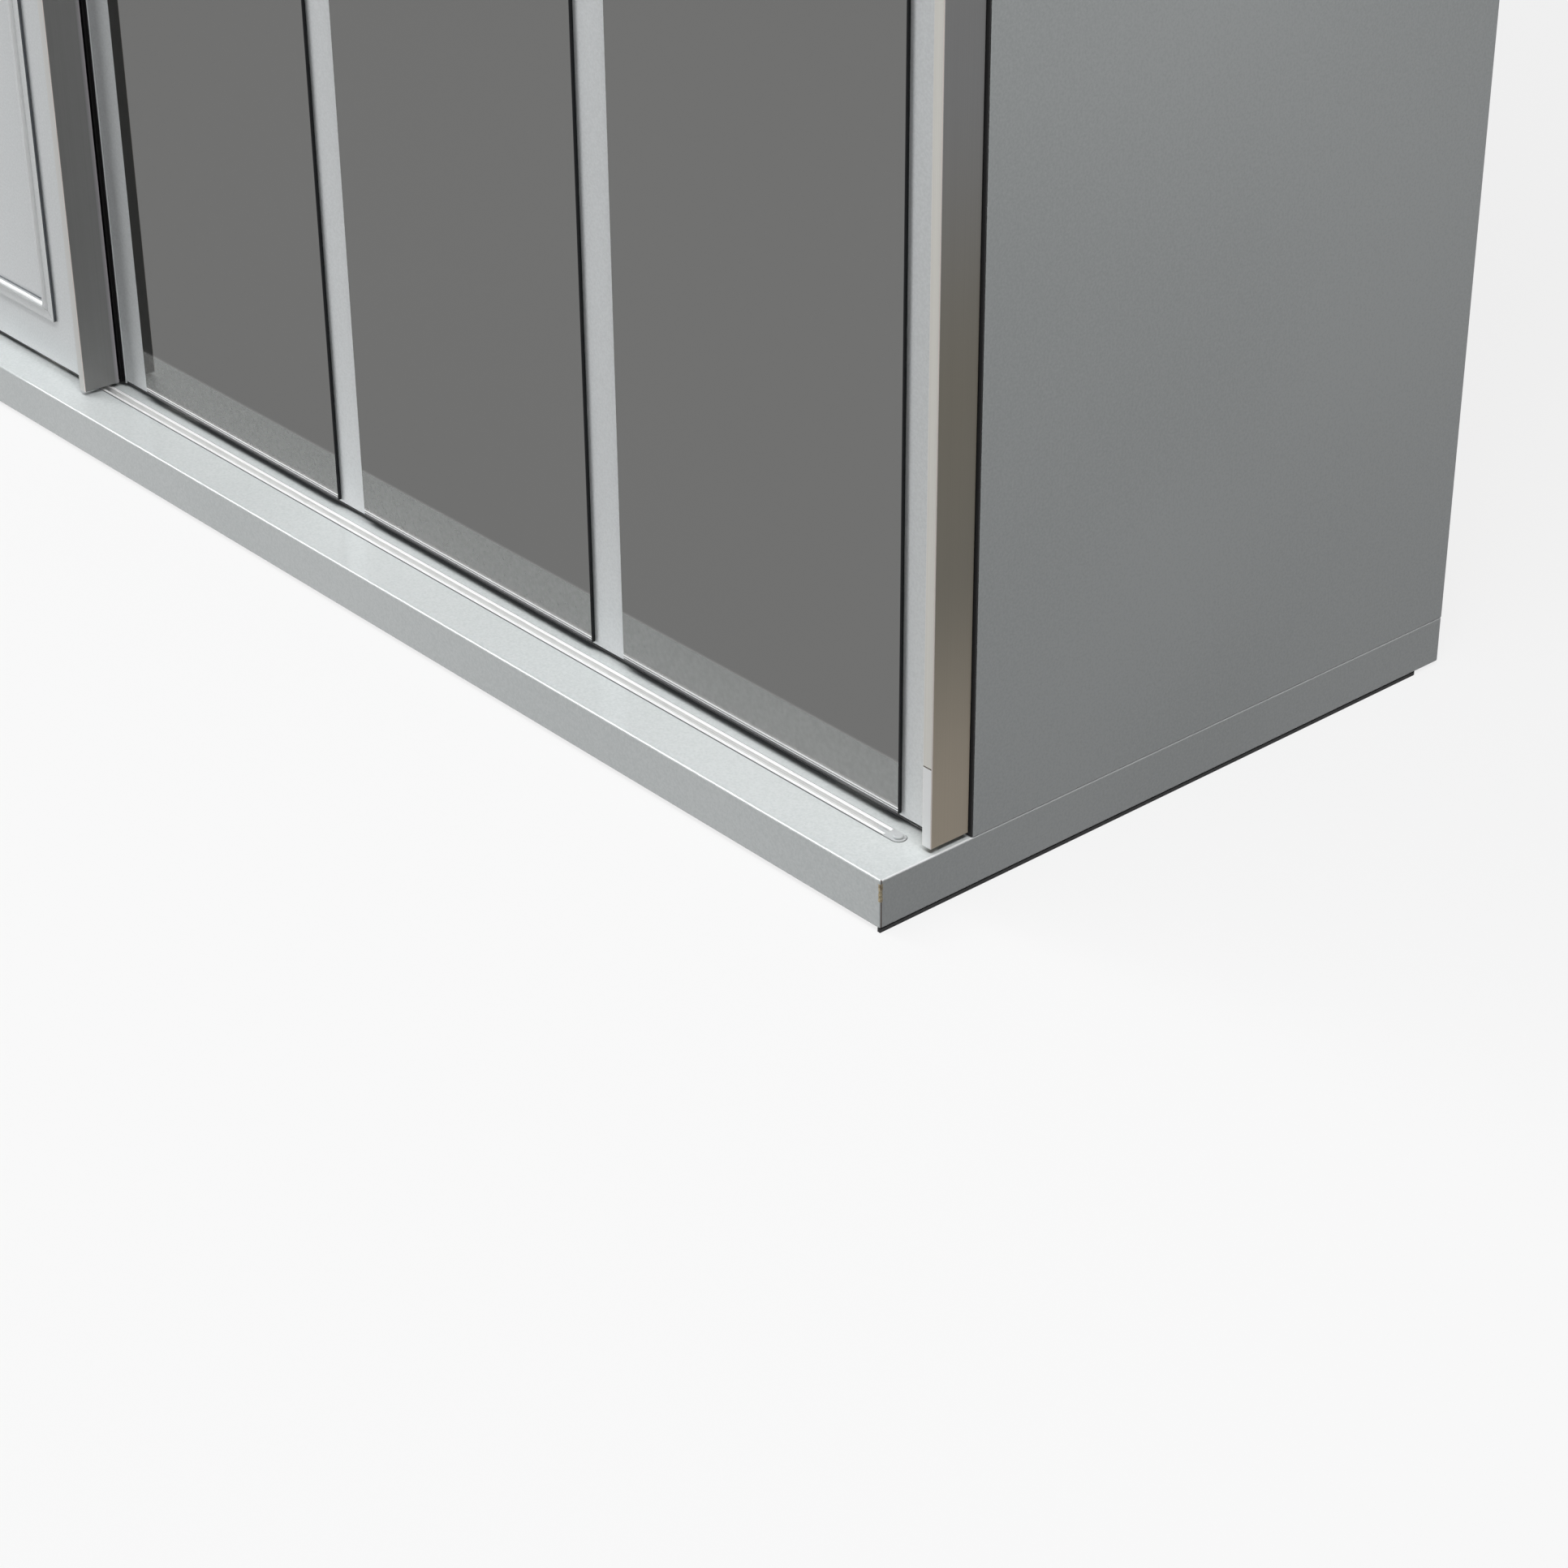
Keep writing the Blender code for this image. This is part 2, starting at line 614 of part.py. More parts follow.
def make_guide_rails():
    """Slotted rails let into the base, closed by a plug at each end."""
    half = RAIL_WIDTH / 2
    slot = SLOT_WIDTH / 2
    plug = plug_mesh()
    for name, one in (("front", front_door), ("rear", rear_door)):
        middle = one.rail_y
        corners = [
            (middle - half, rail_low, FLAT),
            (middle + half, rail_low, FLAT),
            (middle + half, rail_top, RAIL_ROUND),
            (middle + slot, rail_top, RAIL_ROUND),
            (middle + slot, slot_low, FLAT),
            (middle - slot, slot_low, FLAT),
            (middle - slot, rail_top, RAIL_ROUND),
            (middle - half, rail_top, RAIL_ROUND),
        ]
        mesh = extrude("guide_rail_" + name, "X", -rail_reach, rail_reach, rounded(corners))
        place("guide_rail_" + name, mesh, "bright_aluminium", carcass)
        for where, x, turn in (("left", -rail_reach, math.pi), ("right", rail_reach, 0.0)):
            where = f"rail_plug_{name}_{where}"
            place(where, plug, "grey_plastic", carcass, (x, middle, base_top), turn)


def handle_mesh(name, one, hand):
    """Handle extrusion: a proud hollow lip in front, a groove for the board, and a hollow rear leg."""
    outer = one.right if hand == RIGHT else one.left
    slot_front = LIP_PROUD - FIT
    slot_back = LIP_PROUD + DOOR_BOARD + FIT
    inner = HANDLE_WIDTH - HANDLE_WALL

    def across(corners):
        return rounded([(outer - hand * u, one.lip + v, radius) for u, v, radius in corners])

    outline = across([
        (0, 0, HANDLE_ROUND),
        (HANDLE_WIDTH, 0, HANDLE_ROUND),
        (HANDLE_WIDTH, slot_front, FLAT),
        (GROOVE_FLOOR, slot_front, FLAT),
        (GROOVE_FLOOR, slot_back, FLAT),
        (HANDLE_WIDTH, slot_back, FLAT),
        (HANDLE_WIDTH, handle_depth, FLAT),
        (0, handle_depth, FLAT),
    ])
    lip_hollow = across([
        (HANDLE_WALL, HANDLE_WALL, FLAT),
        (inner, HANDLE_WALL, FLAT),
        (inner, slot_front - HANDLE_WALL, FLAT),
        (HANDLE_WALL, slot_front - HANDLE_WALL, FLAT),
    ])
    leg_hollow = across([
        (HANDLE_WALL, slot_back + HANDLE_WALL, FLAT),
        (inner, slot_back + HANDLE_WALL, FLAT),
        (inner, handle_depth - HANDLE_WALL, FLAT),
        (HANDLE_WALL, handle_depth - HANDLE_WALL, FLAT),
    ])
    return extrude(name, "Z", door_low, door_top, outline, lip_hollow, leg_hollow)


def hanger_mesh():
    """Slotted plate with a stub axle on its eye. The axle lies on -Y from the plate's front face."""
    low = door_top - HANGER_LAP - axle_height
    shoulder = door_top - HANGER_SHOULDER - axle_height
    half = HANGER_WIDTH / 2
    corners = [(-half, low, HANGER_CORNER), (half, low, HANGER_CORNER), (half, shoulder, HANGER_CORNER)]
    corners += [(x, z, FLAT) for x, z in arc((0, 0), HANGER_EYE, 0, 180, 2 * CORNER_STEPS)]
    corners += [(-half, shoulder, HANGER_CORNER)]
    slot_middle = (low + shoulder) / 2
    slot_run = (HANGER_SLOT_HEIGHT - HANGER_SLOT_WIDTH) / 2
    slots = [
        slot_outline((hand * HANGER_SLOT_PITCH / 2, slot_middle), HANGER_SLOT_WIDTH / 2, slot_run)
        for hand in (LEFT, RIGHT)
    ]
    plate = extrude("hanger_plate", "Y", FIT, FIT + HANGER_PLATE, rounded(corners), *slots)
    wheel_near = -WHEEL_SETBACK + WHEEL_WIDTH / 2 + FIT
    wheel_far = -WHEEL_SETBACK - WHEEL_WIDTH / 2 - FIT
    profile = [
        (0, FIT + HANGER_PLATE / 2),
        (AXLE_HEAD_RADIUS, FIT + HANGER_PLATE / 2),
        (AXLE_HEAD_RADIUS, wheel_near),
        (AXLE_RADIUS, wheel_near),
        (AXLE_RADIUS, wheel_far),
        (AXLE_HEAD_RADIUS, wheel_far),
        (AXLE_HEAD_RADIUS, wheel_far - AXLE_HEAD / 2),
        (AXLE_HEAD_RADIUS - AXLE_HEAD / 2, wheel_far - AXLE_HEAD),
        (0, wheel_far - AXLE_HEAD),
    ]
    return combined("hanger", "UNION", plate, revolve("stub_axle", profile, "Y"))


def wheel_mesh():
    """Grooved wheel with a hub, a recessed web and a rim, about its own axle along Y."""
    half = WHEEL_WIDTH / 2
    web = half - WHEEL_RECESS
    rim_in = WHEEL_RADIUS - WHEEL_RIM
    profile = [(AXLE_RADIUS + BORE_CLEAR, half), (AXLE_RADIUS + BORE_CLEAR, -half)]
    profile += [(WHEEL_HUB, -half), (WHEEL_HUB, -web), (rim_in, -web), (rim_in, -half)]
    profile += [(WHEEL_RADIUS, -half)]
    for step in range(2 * CORNER_STEPS + 1):
        share = step / CORNER_STEPS - 1
        dip = WHEEL_GROOVE * math.cos(math.pi / 2 * share)
        profile.append((WHEEL_RADIUS - dip, WHEEL_GROOVE_HALF * share))
    profile += [(WHEEL_RADIUS, half), (rim_in, half), (rim_in, web), (WHEEL_HUB, web), (WHEEL_HUB, half)]
    return revolve("wheel", profile, "Y")


def guide_mesh():
    """Guide under a door: a plate behind the board, a foot below it and a round-nosed fin in the rail."""
    foot_top = board_low - FIT - base_top
    foot_low = foot_top - GUIDE_FOOT
    half = SLOT_WIDTH / 2 - FIN_CLEAR
    nose = slot_low + FIN_TIP_CLEAR + half - base_top
    plate_near = GUIDE_SETBACK + FIT
    plate_far = plate_near + GUIDE_PLATE
    outline = [(plate_near, foot_top + GUIDE_RISE), (plate_near, foot_top), (-half, foot_top)]
    outline += arc((0, nose), half, 180, 360, 2 * CORNER_STEPS)
    outline += [(half, foot_low), (plate_far, foot_low), (plate_far, foot_top + GUIDE_RISE)]
    return extrude("door_guide", "X", -GUIDE_LENGTH / 2, GUIDE_LENGTH / 2, outline)


def make_running_gear(name, one, body):
    """Hangers, wheels and guides of one door."""
    for where, x in zip(("left", "right"), one.hangers):
        seat = (x, one.board_back, axle_height)
        axle = (x, one.wheel_y, axle_height)
        place(f"{name}_hanger_{where}", hanger, "zinc_steel", body, seat, smooth=True)
        place(f"{name}_wheel_{where}", wheel, "white_nylon", body, axle, smooth=True)
    for where, x in zip(("left", "right"), one.guides):
        place(f"{name}_guide_{where}", guide, "white_nylon", body, (x, one.rail_y, base_top))


def bead_section():
    """Bead from its outer edge inwards: a flat half that rises to a crease, then a rounded half."""
    middle = BEAD_WIDTH - BEAD_ROLL / 2
    crease = math.asin(BEAD_CREASE / BEAD_HEIGHT)
    section = [(0, 0), (0, BEAD_LIP)]
    for step in range(2 * CORNER_STEPS + 1):
        turn = crease + (math.pi - crease) * step / (2 * CORNER_STEPS)
        section.append((middle - BEAD_ROLL / 2 * math.cos(turn), BEAD_HEIGHT * math.sin(turn)))
    return section


def mitred(name, section, length, origin, along, inward):
    """Strip of a section between two mitred ends. Its outer edge lies on the line through origin."""
    outward = Vector((0, -1, 0))
    trim = FIT / math.sqrt(2)
    bm = bmesh.new()
    rings = []
    for end in (LEFT, RIGHT):
        runs = [end * (length / 2 - inset - trim) for inset, _ in section]
        points = [
            origin + along * run + inward * inset + outward * height
            for run, (inset, height) in zip(runs, section)
        ]
        rings.append([bm.verts.new(point) for point in points])
    near, far = rings
    for i in range(len(section)):
        bm.faces.new((near[i - 1], near[i], far[i], far[i - 1]))
    bm.faces.new(near)
    bm.faces.new(far)
    return to_mesh(bm, name)


def make_front_door():
    """Board between two handles, with a mitred bead frame on its face."""
    one = front_door
    edge = GROOVE_FLOOR + FIT
    mesh = board(
        "front_door_panel",
        (one.left + edge, one.board_front, board_low),
        (one.right - edge, one.board_back, door_top),
    )
    place("front_door_panel", mesh, "grey_door_board", front_slide)
    for where, hand in (("left", LEFT), ("right", RIGHT)):
        name = "front_handle_" + where
        place(name, handle_mesh(name, one, hand), "warm_aluminium", front_slide)

    face = one.board_front - FIT
    low_x = one.left + BEAD_SIDE
    high_x = one.right - BEAD_SIDE
    low_z = board_low + BEAD_END
    high_z = door_top - BEAD_END
    middle_x = (low_x + high_x) / 2
    middle_z = (low_z + high_z) / 2
    x_axis = Vector((1, 0, 0))
    z_axis = Vector((0, 0, 1))
    strips = {
        "bead_bottom": (high_x - low_x, (middle_x, face, low_z), x_axis, z_axis),
        "bead_right": (high_z - low_z, (high_x, face, middle_z), z_axis, -x_axis),
        "bead_top": (high_x - low_x, (middle_x, face, high_z), -x_axis, -z_axis),
        "bead_left": (high_z - low_z, (low_x, face, middle_z), -z_axis, x_axis),
    }
    for name, (length, origin, along, inward) in strips.items():
        mesh = mitred(name, bead_section(), length, Vector(origin), along, inward)
        place(name, mesh, "bead_lacquer", front_slide, smooth=True)
    make_running_gear("front", one, front_slide)


def edge_strip_mesh():
    """U-shaped strip on the rear door's left edge, with a small rib on its front flange."""
    one = rear_door
    face = one.board_front - FIT - EDGE_WALL
    rear = one.board_back + FIT + EDGE_WALL
    rib = EDGE_RIB_PLACE + EDGE_RIB_WIDTH
    outline = [
        (0, face),
        (EDGE_RIB_PLACE, face),
        (EDGE_RIB_PLACE, face - EDGE_RIB_HEIGHT),
        (rib, face - EDGE_RIB_HEIGHT),
        (rib, face),
        (EDGE_WIDTH, face),
        (EDGE_WIDTH, face + EDGE_WALL),
        (EDGE_WALL, face + EDGE_WALL),
        (EDGE_WALL, rear - EDGE_WALL),
        (EDGE_WIDTH, rear - EDGE_WALL),
        (EDGE_WIDTH, rear),
        (0, rear),
    ]
    outline = [(one.left + u, y) for u, y in outline]
    return extrude("rear_edge_strip", "Z", door_low, door_top, outline)


def make_rear_door():
    """Board with a handle on its right, an edge strip on its left and mirrors bonded to its face."""
    one = rear_door
    mesh = board(
        "rear_door_panel",
        (one.left + EDGE_WALL + FIT, one.board_front, board_low),
        (one.right - GROOVE_FLOOR - FIT, one.board_back, door_top),
    )
    place("rear_door_panel", mesh, "grey_door_board", rear_slide)
    place("rear_handle", handle_mesh("rear_handle", one, RIGHT), "warm_aluminium", rear_slide)
    place("rear_edge_strip", edge_strip_mesh(), "warm_aluminium", rear_slide)

    gaps = MIRROR_GAP * (MIRROR_COUNT - 1)
    width = (door_width - MIRROR_MARGIN_LEFT - MIRROR_MARGIN_RIGHT - gaps) / MIRROR_COUNT
    glass_back = one.board_front - FIT
    for place_from_left in range(MIRROR_COUNT):
        name = f"mirror_{place_from_left + 1}"
        low_x = one.left + MIRROR_MARGIN_LEFT + place_from_left * (width + MIRROR_GAP)
        mesh = board(
            name,
            (low_x, glass_back - GLASS_THICK, board_low + MIRROR_END),
            (low_x + width, glass_back, door_top - MIRROR_END),
            GLASS_ARRIS,
        )
        place(name, mesh, "grey_mirror", rear_slide)
    make_running_gear("rear", one, rear_slide)


clear_scene()
materials = make_materials()
carcass = make_carrier("carcass_frame", (0, 0, 0))
front_slide = make_carrier("front_door_slide", (front_door.left, front_door.board_back, door_low))
rear_slide = make_carrier("rear_door_slide", (rear_door.left, rear_door.board_back, door_low))
hanger = hanger_mesh()
wheel = wheel_mesh()
guide = guide_mesh()
make_base()
make_uprights()
make_interior()
make_track()
make_guide_rails()
make_front_door()
make_rear_door()
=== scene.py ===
import json
import math

import bpy
import numpy as np
from mathutils import Matrix, Vector


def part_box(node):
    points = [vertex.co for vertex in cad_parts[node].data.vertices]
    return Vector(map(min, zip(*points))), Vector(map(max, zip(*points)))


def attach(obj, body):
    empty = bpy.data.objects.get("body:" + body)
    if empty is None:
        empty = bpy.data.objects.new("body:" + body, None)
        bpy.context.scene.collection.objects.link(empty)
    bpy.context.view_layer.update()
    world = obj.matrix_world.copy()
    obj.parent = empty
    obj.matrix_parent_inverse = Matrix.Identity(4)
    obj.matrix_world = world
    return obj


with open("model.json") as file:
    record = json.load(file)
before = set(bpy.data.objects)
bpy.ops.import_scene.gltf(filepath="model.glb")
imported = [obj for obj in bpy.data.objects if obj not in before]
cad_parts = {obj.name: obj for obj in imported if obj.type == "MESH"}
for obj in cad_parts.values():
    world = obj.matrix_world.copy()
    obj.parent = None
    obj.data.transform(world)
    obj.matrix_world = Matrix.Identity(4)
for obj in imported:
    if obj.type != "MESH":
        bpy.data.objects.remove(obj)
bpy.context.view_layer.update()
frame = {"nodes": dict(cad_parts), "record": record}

# Looks of a sliding door wardrobe: finishes for its boards, mirrors and metal, and the small hardware on them.
mm = 0.001
scene = bpy.context.scene
scene.view_settings.view_transform = "Standard"
print("frame loaded:", len(frame["nodes"]), "nodes")


# Small tools

def hexColour(code):
    # sRGB hex to linear: a straight line below the knee, a power of 2.4 above it
    parts = np.array([int(code[i:i + 2], 16) for i in (1, 3, 5)]) / 255
    linear = np.where(parts <= 0.04045, parts / 12.92, ((parts + 0.055) / 1.055) ** 2.4)
    return (*[float(value) for value in linear], 1.0)


def perMetre(size):
    # scale of a pattern that repeats about once in the given number of millimetres
    return 1.0 / (size * mm)


def setInputs(tree, node, inputs):
    # a number picks a socket by place, a name one of those in use; a node stands for its first output in use
    for key, value in inputs.items():
        inUse = [socket for socket in node.inputs if socket.enabled]
        socket = node.inputs[key] if isinstance(key, int) else next(one for one in inUse if one.name == key)
        if isinstance(value, bpy.types.Node):
            value = next(one for one in value.outputs if one.enabled)
        if isinstance(value, bpy.types.NodeSocket):
            tree.links.new(value, socket)
        else:
            socket.default_value = value
    return node


def addNode(tree, kind, inputs=None, **settings):
    # one node with its settings and links
    made = tree.nodes.new("ShaderNode" + kind)
    for key, value in settings.items():
        setattr(made, key, value)
    return setInputs(tree, made, inputs or {})


def startMaterial(name, plain):
    # a Principled surface with its plain values, and the object's own coordinates and normal for its patterns
    material = bpy.data.materials.new(name)
    material.use_nodes = True
    tree = material.node_tree
    shader = setInputs(tree, tree.nodes["Principled BSDF"], plain)
    place = addNode(tree, "TexCoord").outputs
    return material, tree, shader, place["Object"], place["Normal"]


# Camera: where the photograph was taken from

view = {
    "eye": (2.8316, -1.7934, 1.3701),
    "heading": 49.39,  # degrees, left of straight on
    "lookDown": 26.75,
    "roll": -0.43,
    "lens": 75.04,  # mm on a 36 mm wide sensor
    "shift": (0.00263, -0.1153),
}


def makeCamera():
    camera = bpy.data.objects.new("camera", bpy.data.cameras.new("camera"))
    scene.collection.objects.link(camera)
    turn = Matrix.Rotation(math.radians(view["heading"]), 4, "Z")
    turn = turn @ Matrix.Rotation(math.radians(90 - view["lookDown"]), 4, "X")
    turn = turn @ Matrix.Rotation(math.radians(view["roll"]), 4, "Z")
    camera.matrix_world = Matrix.Translation(view["eye"]) @ turn
    camera.data.lens = view["lens"]
    camera.data.sensor_width = 36.0
    camera.data.shift_x, camera.data.shift_y = view["shift"]
    camera.data.clip_end = 200.0
    scene.camera = camera


# Floor and light: the camera and reflections see the floor and sky pale, light that bounces meets them darker

studio = {
    "floorPale": "#f7f7f7",
    "glowShare": 0.88,  # the rest of the floor's tone is lit, and keeps the shadow
    "floorBounce": "#3c3c3c",
    "skyPale": "#ebebeb",
    "skyLow": "#2b2c2d",  # light from the horizon
    "skyHigh": "#868789",  # light from overhead
    "floorSize": 40.0,
}
lamps = {
    # place, aim, width, height, watts, whether gloss and the floor show it
    "ceilingSoftbox": ((-0.9, -1.63, 4.74), (-0.9, -1.63, 0.0), 7.6, 2.1, 193.0, True),
    "stripLight": ((-3.2, -1.5, 3.2), (-3.2, -1.5, 0.0), 3.6, 0.3, 40.0, True),
    "rightSoftbox": ((2.15, -0.6, 2.95), (1.25, 0.0, 1.2), 1.0, 1.0, 42.0, True),
    "lowFill": ((-11.0, -14.3, 0.9), (0.6, -0.3, 0.2), 9.6, 1.5, 1400.0, False),
    "backFill": ((0.0, 4.4, 2.4), (0.0, 0.3, 1.0), 2.2, 1.6, 75.0, False),
}


def seenDirectly(tree):
    # 1 for the camera, mirrors and glass, 0 for light that bounces
    path = addNode(tree, "LightPath").outputs
    either = addNode(tree, "Math", {0: path["Is Camera Ray"], 1: path["Is Glossy Ray"]}, operation="MAXIMUM")
    return addNode(tree, "Math", {0: either, 1: path["Is Transmission Ray"]}, operation="MAXIMUM")


def makeStudio():
    half = studio["floorSize"] / 2
    corners = np.array([(-1, -1, 0), (1, -1, 0), (1, 1, 0), (-1, 1, 0)]) * half
    mesh = bpy.data.meshes.new("studio_floor")
    mesh.from_pydata(corners.tolist(), [], [(0, 1, 2, 3)])
    floor = bpy.data.objects.new("studio_floor", mesh)
    scene.collection.objects.link(floor)
    material = bpy.data.materials.new("matt studio floor")
    material.use_nodes = True
    tree = material.node_tree
    tree.nodes.clear()
    lit = addNode(tree, "BsdfDiffuse", {"Color": hexColour(studio["floorPale"])})
    glow = addNode(tree, "Emission", {"Color": hexColour(studio["floorPale"])})
    pale = addNode(tree, "MixShader", {0: studio["glowShare"], 1: lit, 2: glow})
    bounce = addNode(tree, "BsdfDiffuse", {"Color": hexColour(studio["floorBounce"])})
    both = addNode(tree, "MixShader", {0: seenDirectly(tree), 1: bounce, 2: pale})
    addNode(tree, "OutputMaterial", {"Surface": both})
    mesh.materials.append(material)

    world = bpy.data.worlds.new("studio")
    world.use_nodes = True
    tree = world.node_tree
    tree.nodes.clear()
    heading = addNode(tree, "SeparateXYZ", {"Vector": addNode(tree, "TexCoord").outputs["Generated"]})
    tones = {"Factor": heading.outputs["Z"], "A": hexColour(studio["skyLow"]), "B": hexColour(studio["skyHigh"])}
    light = addNode(tree, "Mix", tones, data_type="RGBA")
    tones = {"Factor": seenDirectly(tree), "A": light, "B": hexColour(studio["skyPale"])}
    sky = addNode(tree, "Background", {"Color": addNode(tree, "Mix", tones, data_type="RGBA")})
    addNode(tree, "OutputWorld", {"Surface": sky})
    scene.world = world

    pieceOnly = bpy.data.collections.new("pieceOnly")  # a lamp that only fills in shadows leaves the floor out
    pieceOnly.objects.link(floor)
    pieceOnly.collection_objects[0].light_linking.link_state = "EXCLUDE"
    for name, (place, aim, width, height, watts, shown) in lamps.items():
        light = bpy.data.lights.new(name, "AREA")
        light.shape = "RECTANGLE"
        light.size = width
        light.size_y = height
        light.energy = watts
        lamp = bpy.data.objects.new(name, light)
        lamp.visible_camera = False
        lamp.visible_glossy = shown
        lamp.light_linking.receiver_collection = None if shown else pieceOnly
        scene.collection.objects.link(lamp)
        turn = (Vector(aim) - Vector(place)).to_track_quat("-Z", "Y")
        lamp.matrix_world = Matrix.Translation(place) @ turn.to_matrix().to_4x4()


makeCamera()
makeStudio()
print("camera, floor and", len(lamps), "lamps")


# Laminated boards

silverBoard = {
    "pale": "#d2d6d6",
    "deep": "#c5caca",
    "fleck": 2.2,  # mm; the real flake is under 1 mm, drawn coarser so that it shows
    "drift": 380.0,  # mm; slow change of tone over a board
    "gloss": 0.16,
    "peel": 8.0,  # mm between the hollows of the orange peel
    "peelDepth": 0.012,  # mm
}
doorBoard = dict(silverBoard, pale="#dcdfe0", deep="#d1d4d5", gloss=0.12)
doorUndersideShade = "#232324"  # painted shade: near black on the doors' downward faces, to darken the zone under them


def laminate(name, look):
    # melamine laminate pressed on board: a pearly grey with a fine fleck, and a clear gloss with slight orange peel
    material, tree, shader, spot, facing = startMaterial(name, {"IOR": 1.5})
    fleck = addNode(tree, "TexNoise", {"Vector": spot, "Scale": perMetre(look["fleck"]), "Detail": 3.0})
    drift = addNode(tree, "TexNoise", {"Vector": spot, "Scale": perMetre(look["drift"]), "Detail": 1.0})
    tone = addNode(tree, "Mix", {"Factor": 0.4, "A": fleck, "B": drift})
    tone = addNode(tree, "MapRange", {"Value": tone, "From Min": 0.38, "From Max": 0.62})
    tones = {"Factor": tone, "A": hexColour(look["deep"]), "B": hexColour(look["pale"])}
    colour = addNode(tree, "Mix", tones, data_type="RGBA")
    rough = addNode(tree, "MapRange", {
        "Value": drift, "From Min": 0.3, "From Max": 0.7,
        "To Min": look["gloss"] * 0.85, "To Max": look["gloss"] * 1.2,
    })
    peel = addNode(tree, "TexNoise", {"Vector": spot, "Scale": perMetre(look["peel"]), "Detail": 1.0})
    relief = addNode(tree, "Bump", {"Height": peel, "Distance": look["peelDepth"] * mm})
    setInputs(tree, shader, {"Base Color": colour, "Roughness": rough, "Normal": relief})
    return material, tree, shader, spot, facing, colour


def doorLaminate():
    # the doors' laminate, with the downward faces painted near black as shade under the doors
    material, tree, shader, spot, facing, colour = laminate("light grey gloss laminate", doorBoard)
    # painted shade on the faces turned down
    up = addNode(tree, "SeparateXYZ", {"Vector": facing}).outputs["Z"]
    under = addNode(tree, "Math", {0: up, 1: -0.5}, operation="LESS_THAN")
    tones = {"Factor": under, "A": colour, "B": hexColour(doorUndersideShade)}
    setInputs(tree, shader, {"Base Color": addNode(tree, "Mix", tones, data_type="RGBA")})
    return material


baseBoard = dict(silverBoard, gloss=0.055)
railSeam = {"dirt": "#7d8082", "off": 0.5, "half": 0.2}  # mm: middle of the line beside the rail, half its width
cornerWearAndHighlight = {
    # painted highlight on the rounded upper arris of the right end
    "arris": "#fbfcfc",
    "seam": "#5d4c40",
    "seamBehind": 1.2,  # mm behind the front edge, where the edge band is glued on
    "seamHalf": 0.55,  # mm
    "chipPale": "#d8c7a0",
    "chipDeep": "#8a744f",
    "chipFrom": 0.0275,
    "chipTo": 0.0435,
    "chipReach": 4.5,  # mm from the corner
    "chipGrain": 3.0,  # mm
    "chipEdge": 0.22,  # lower makes the chips larger
}


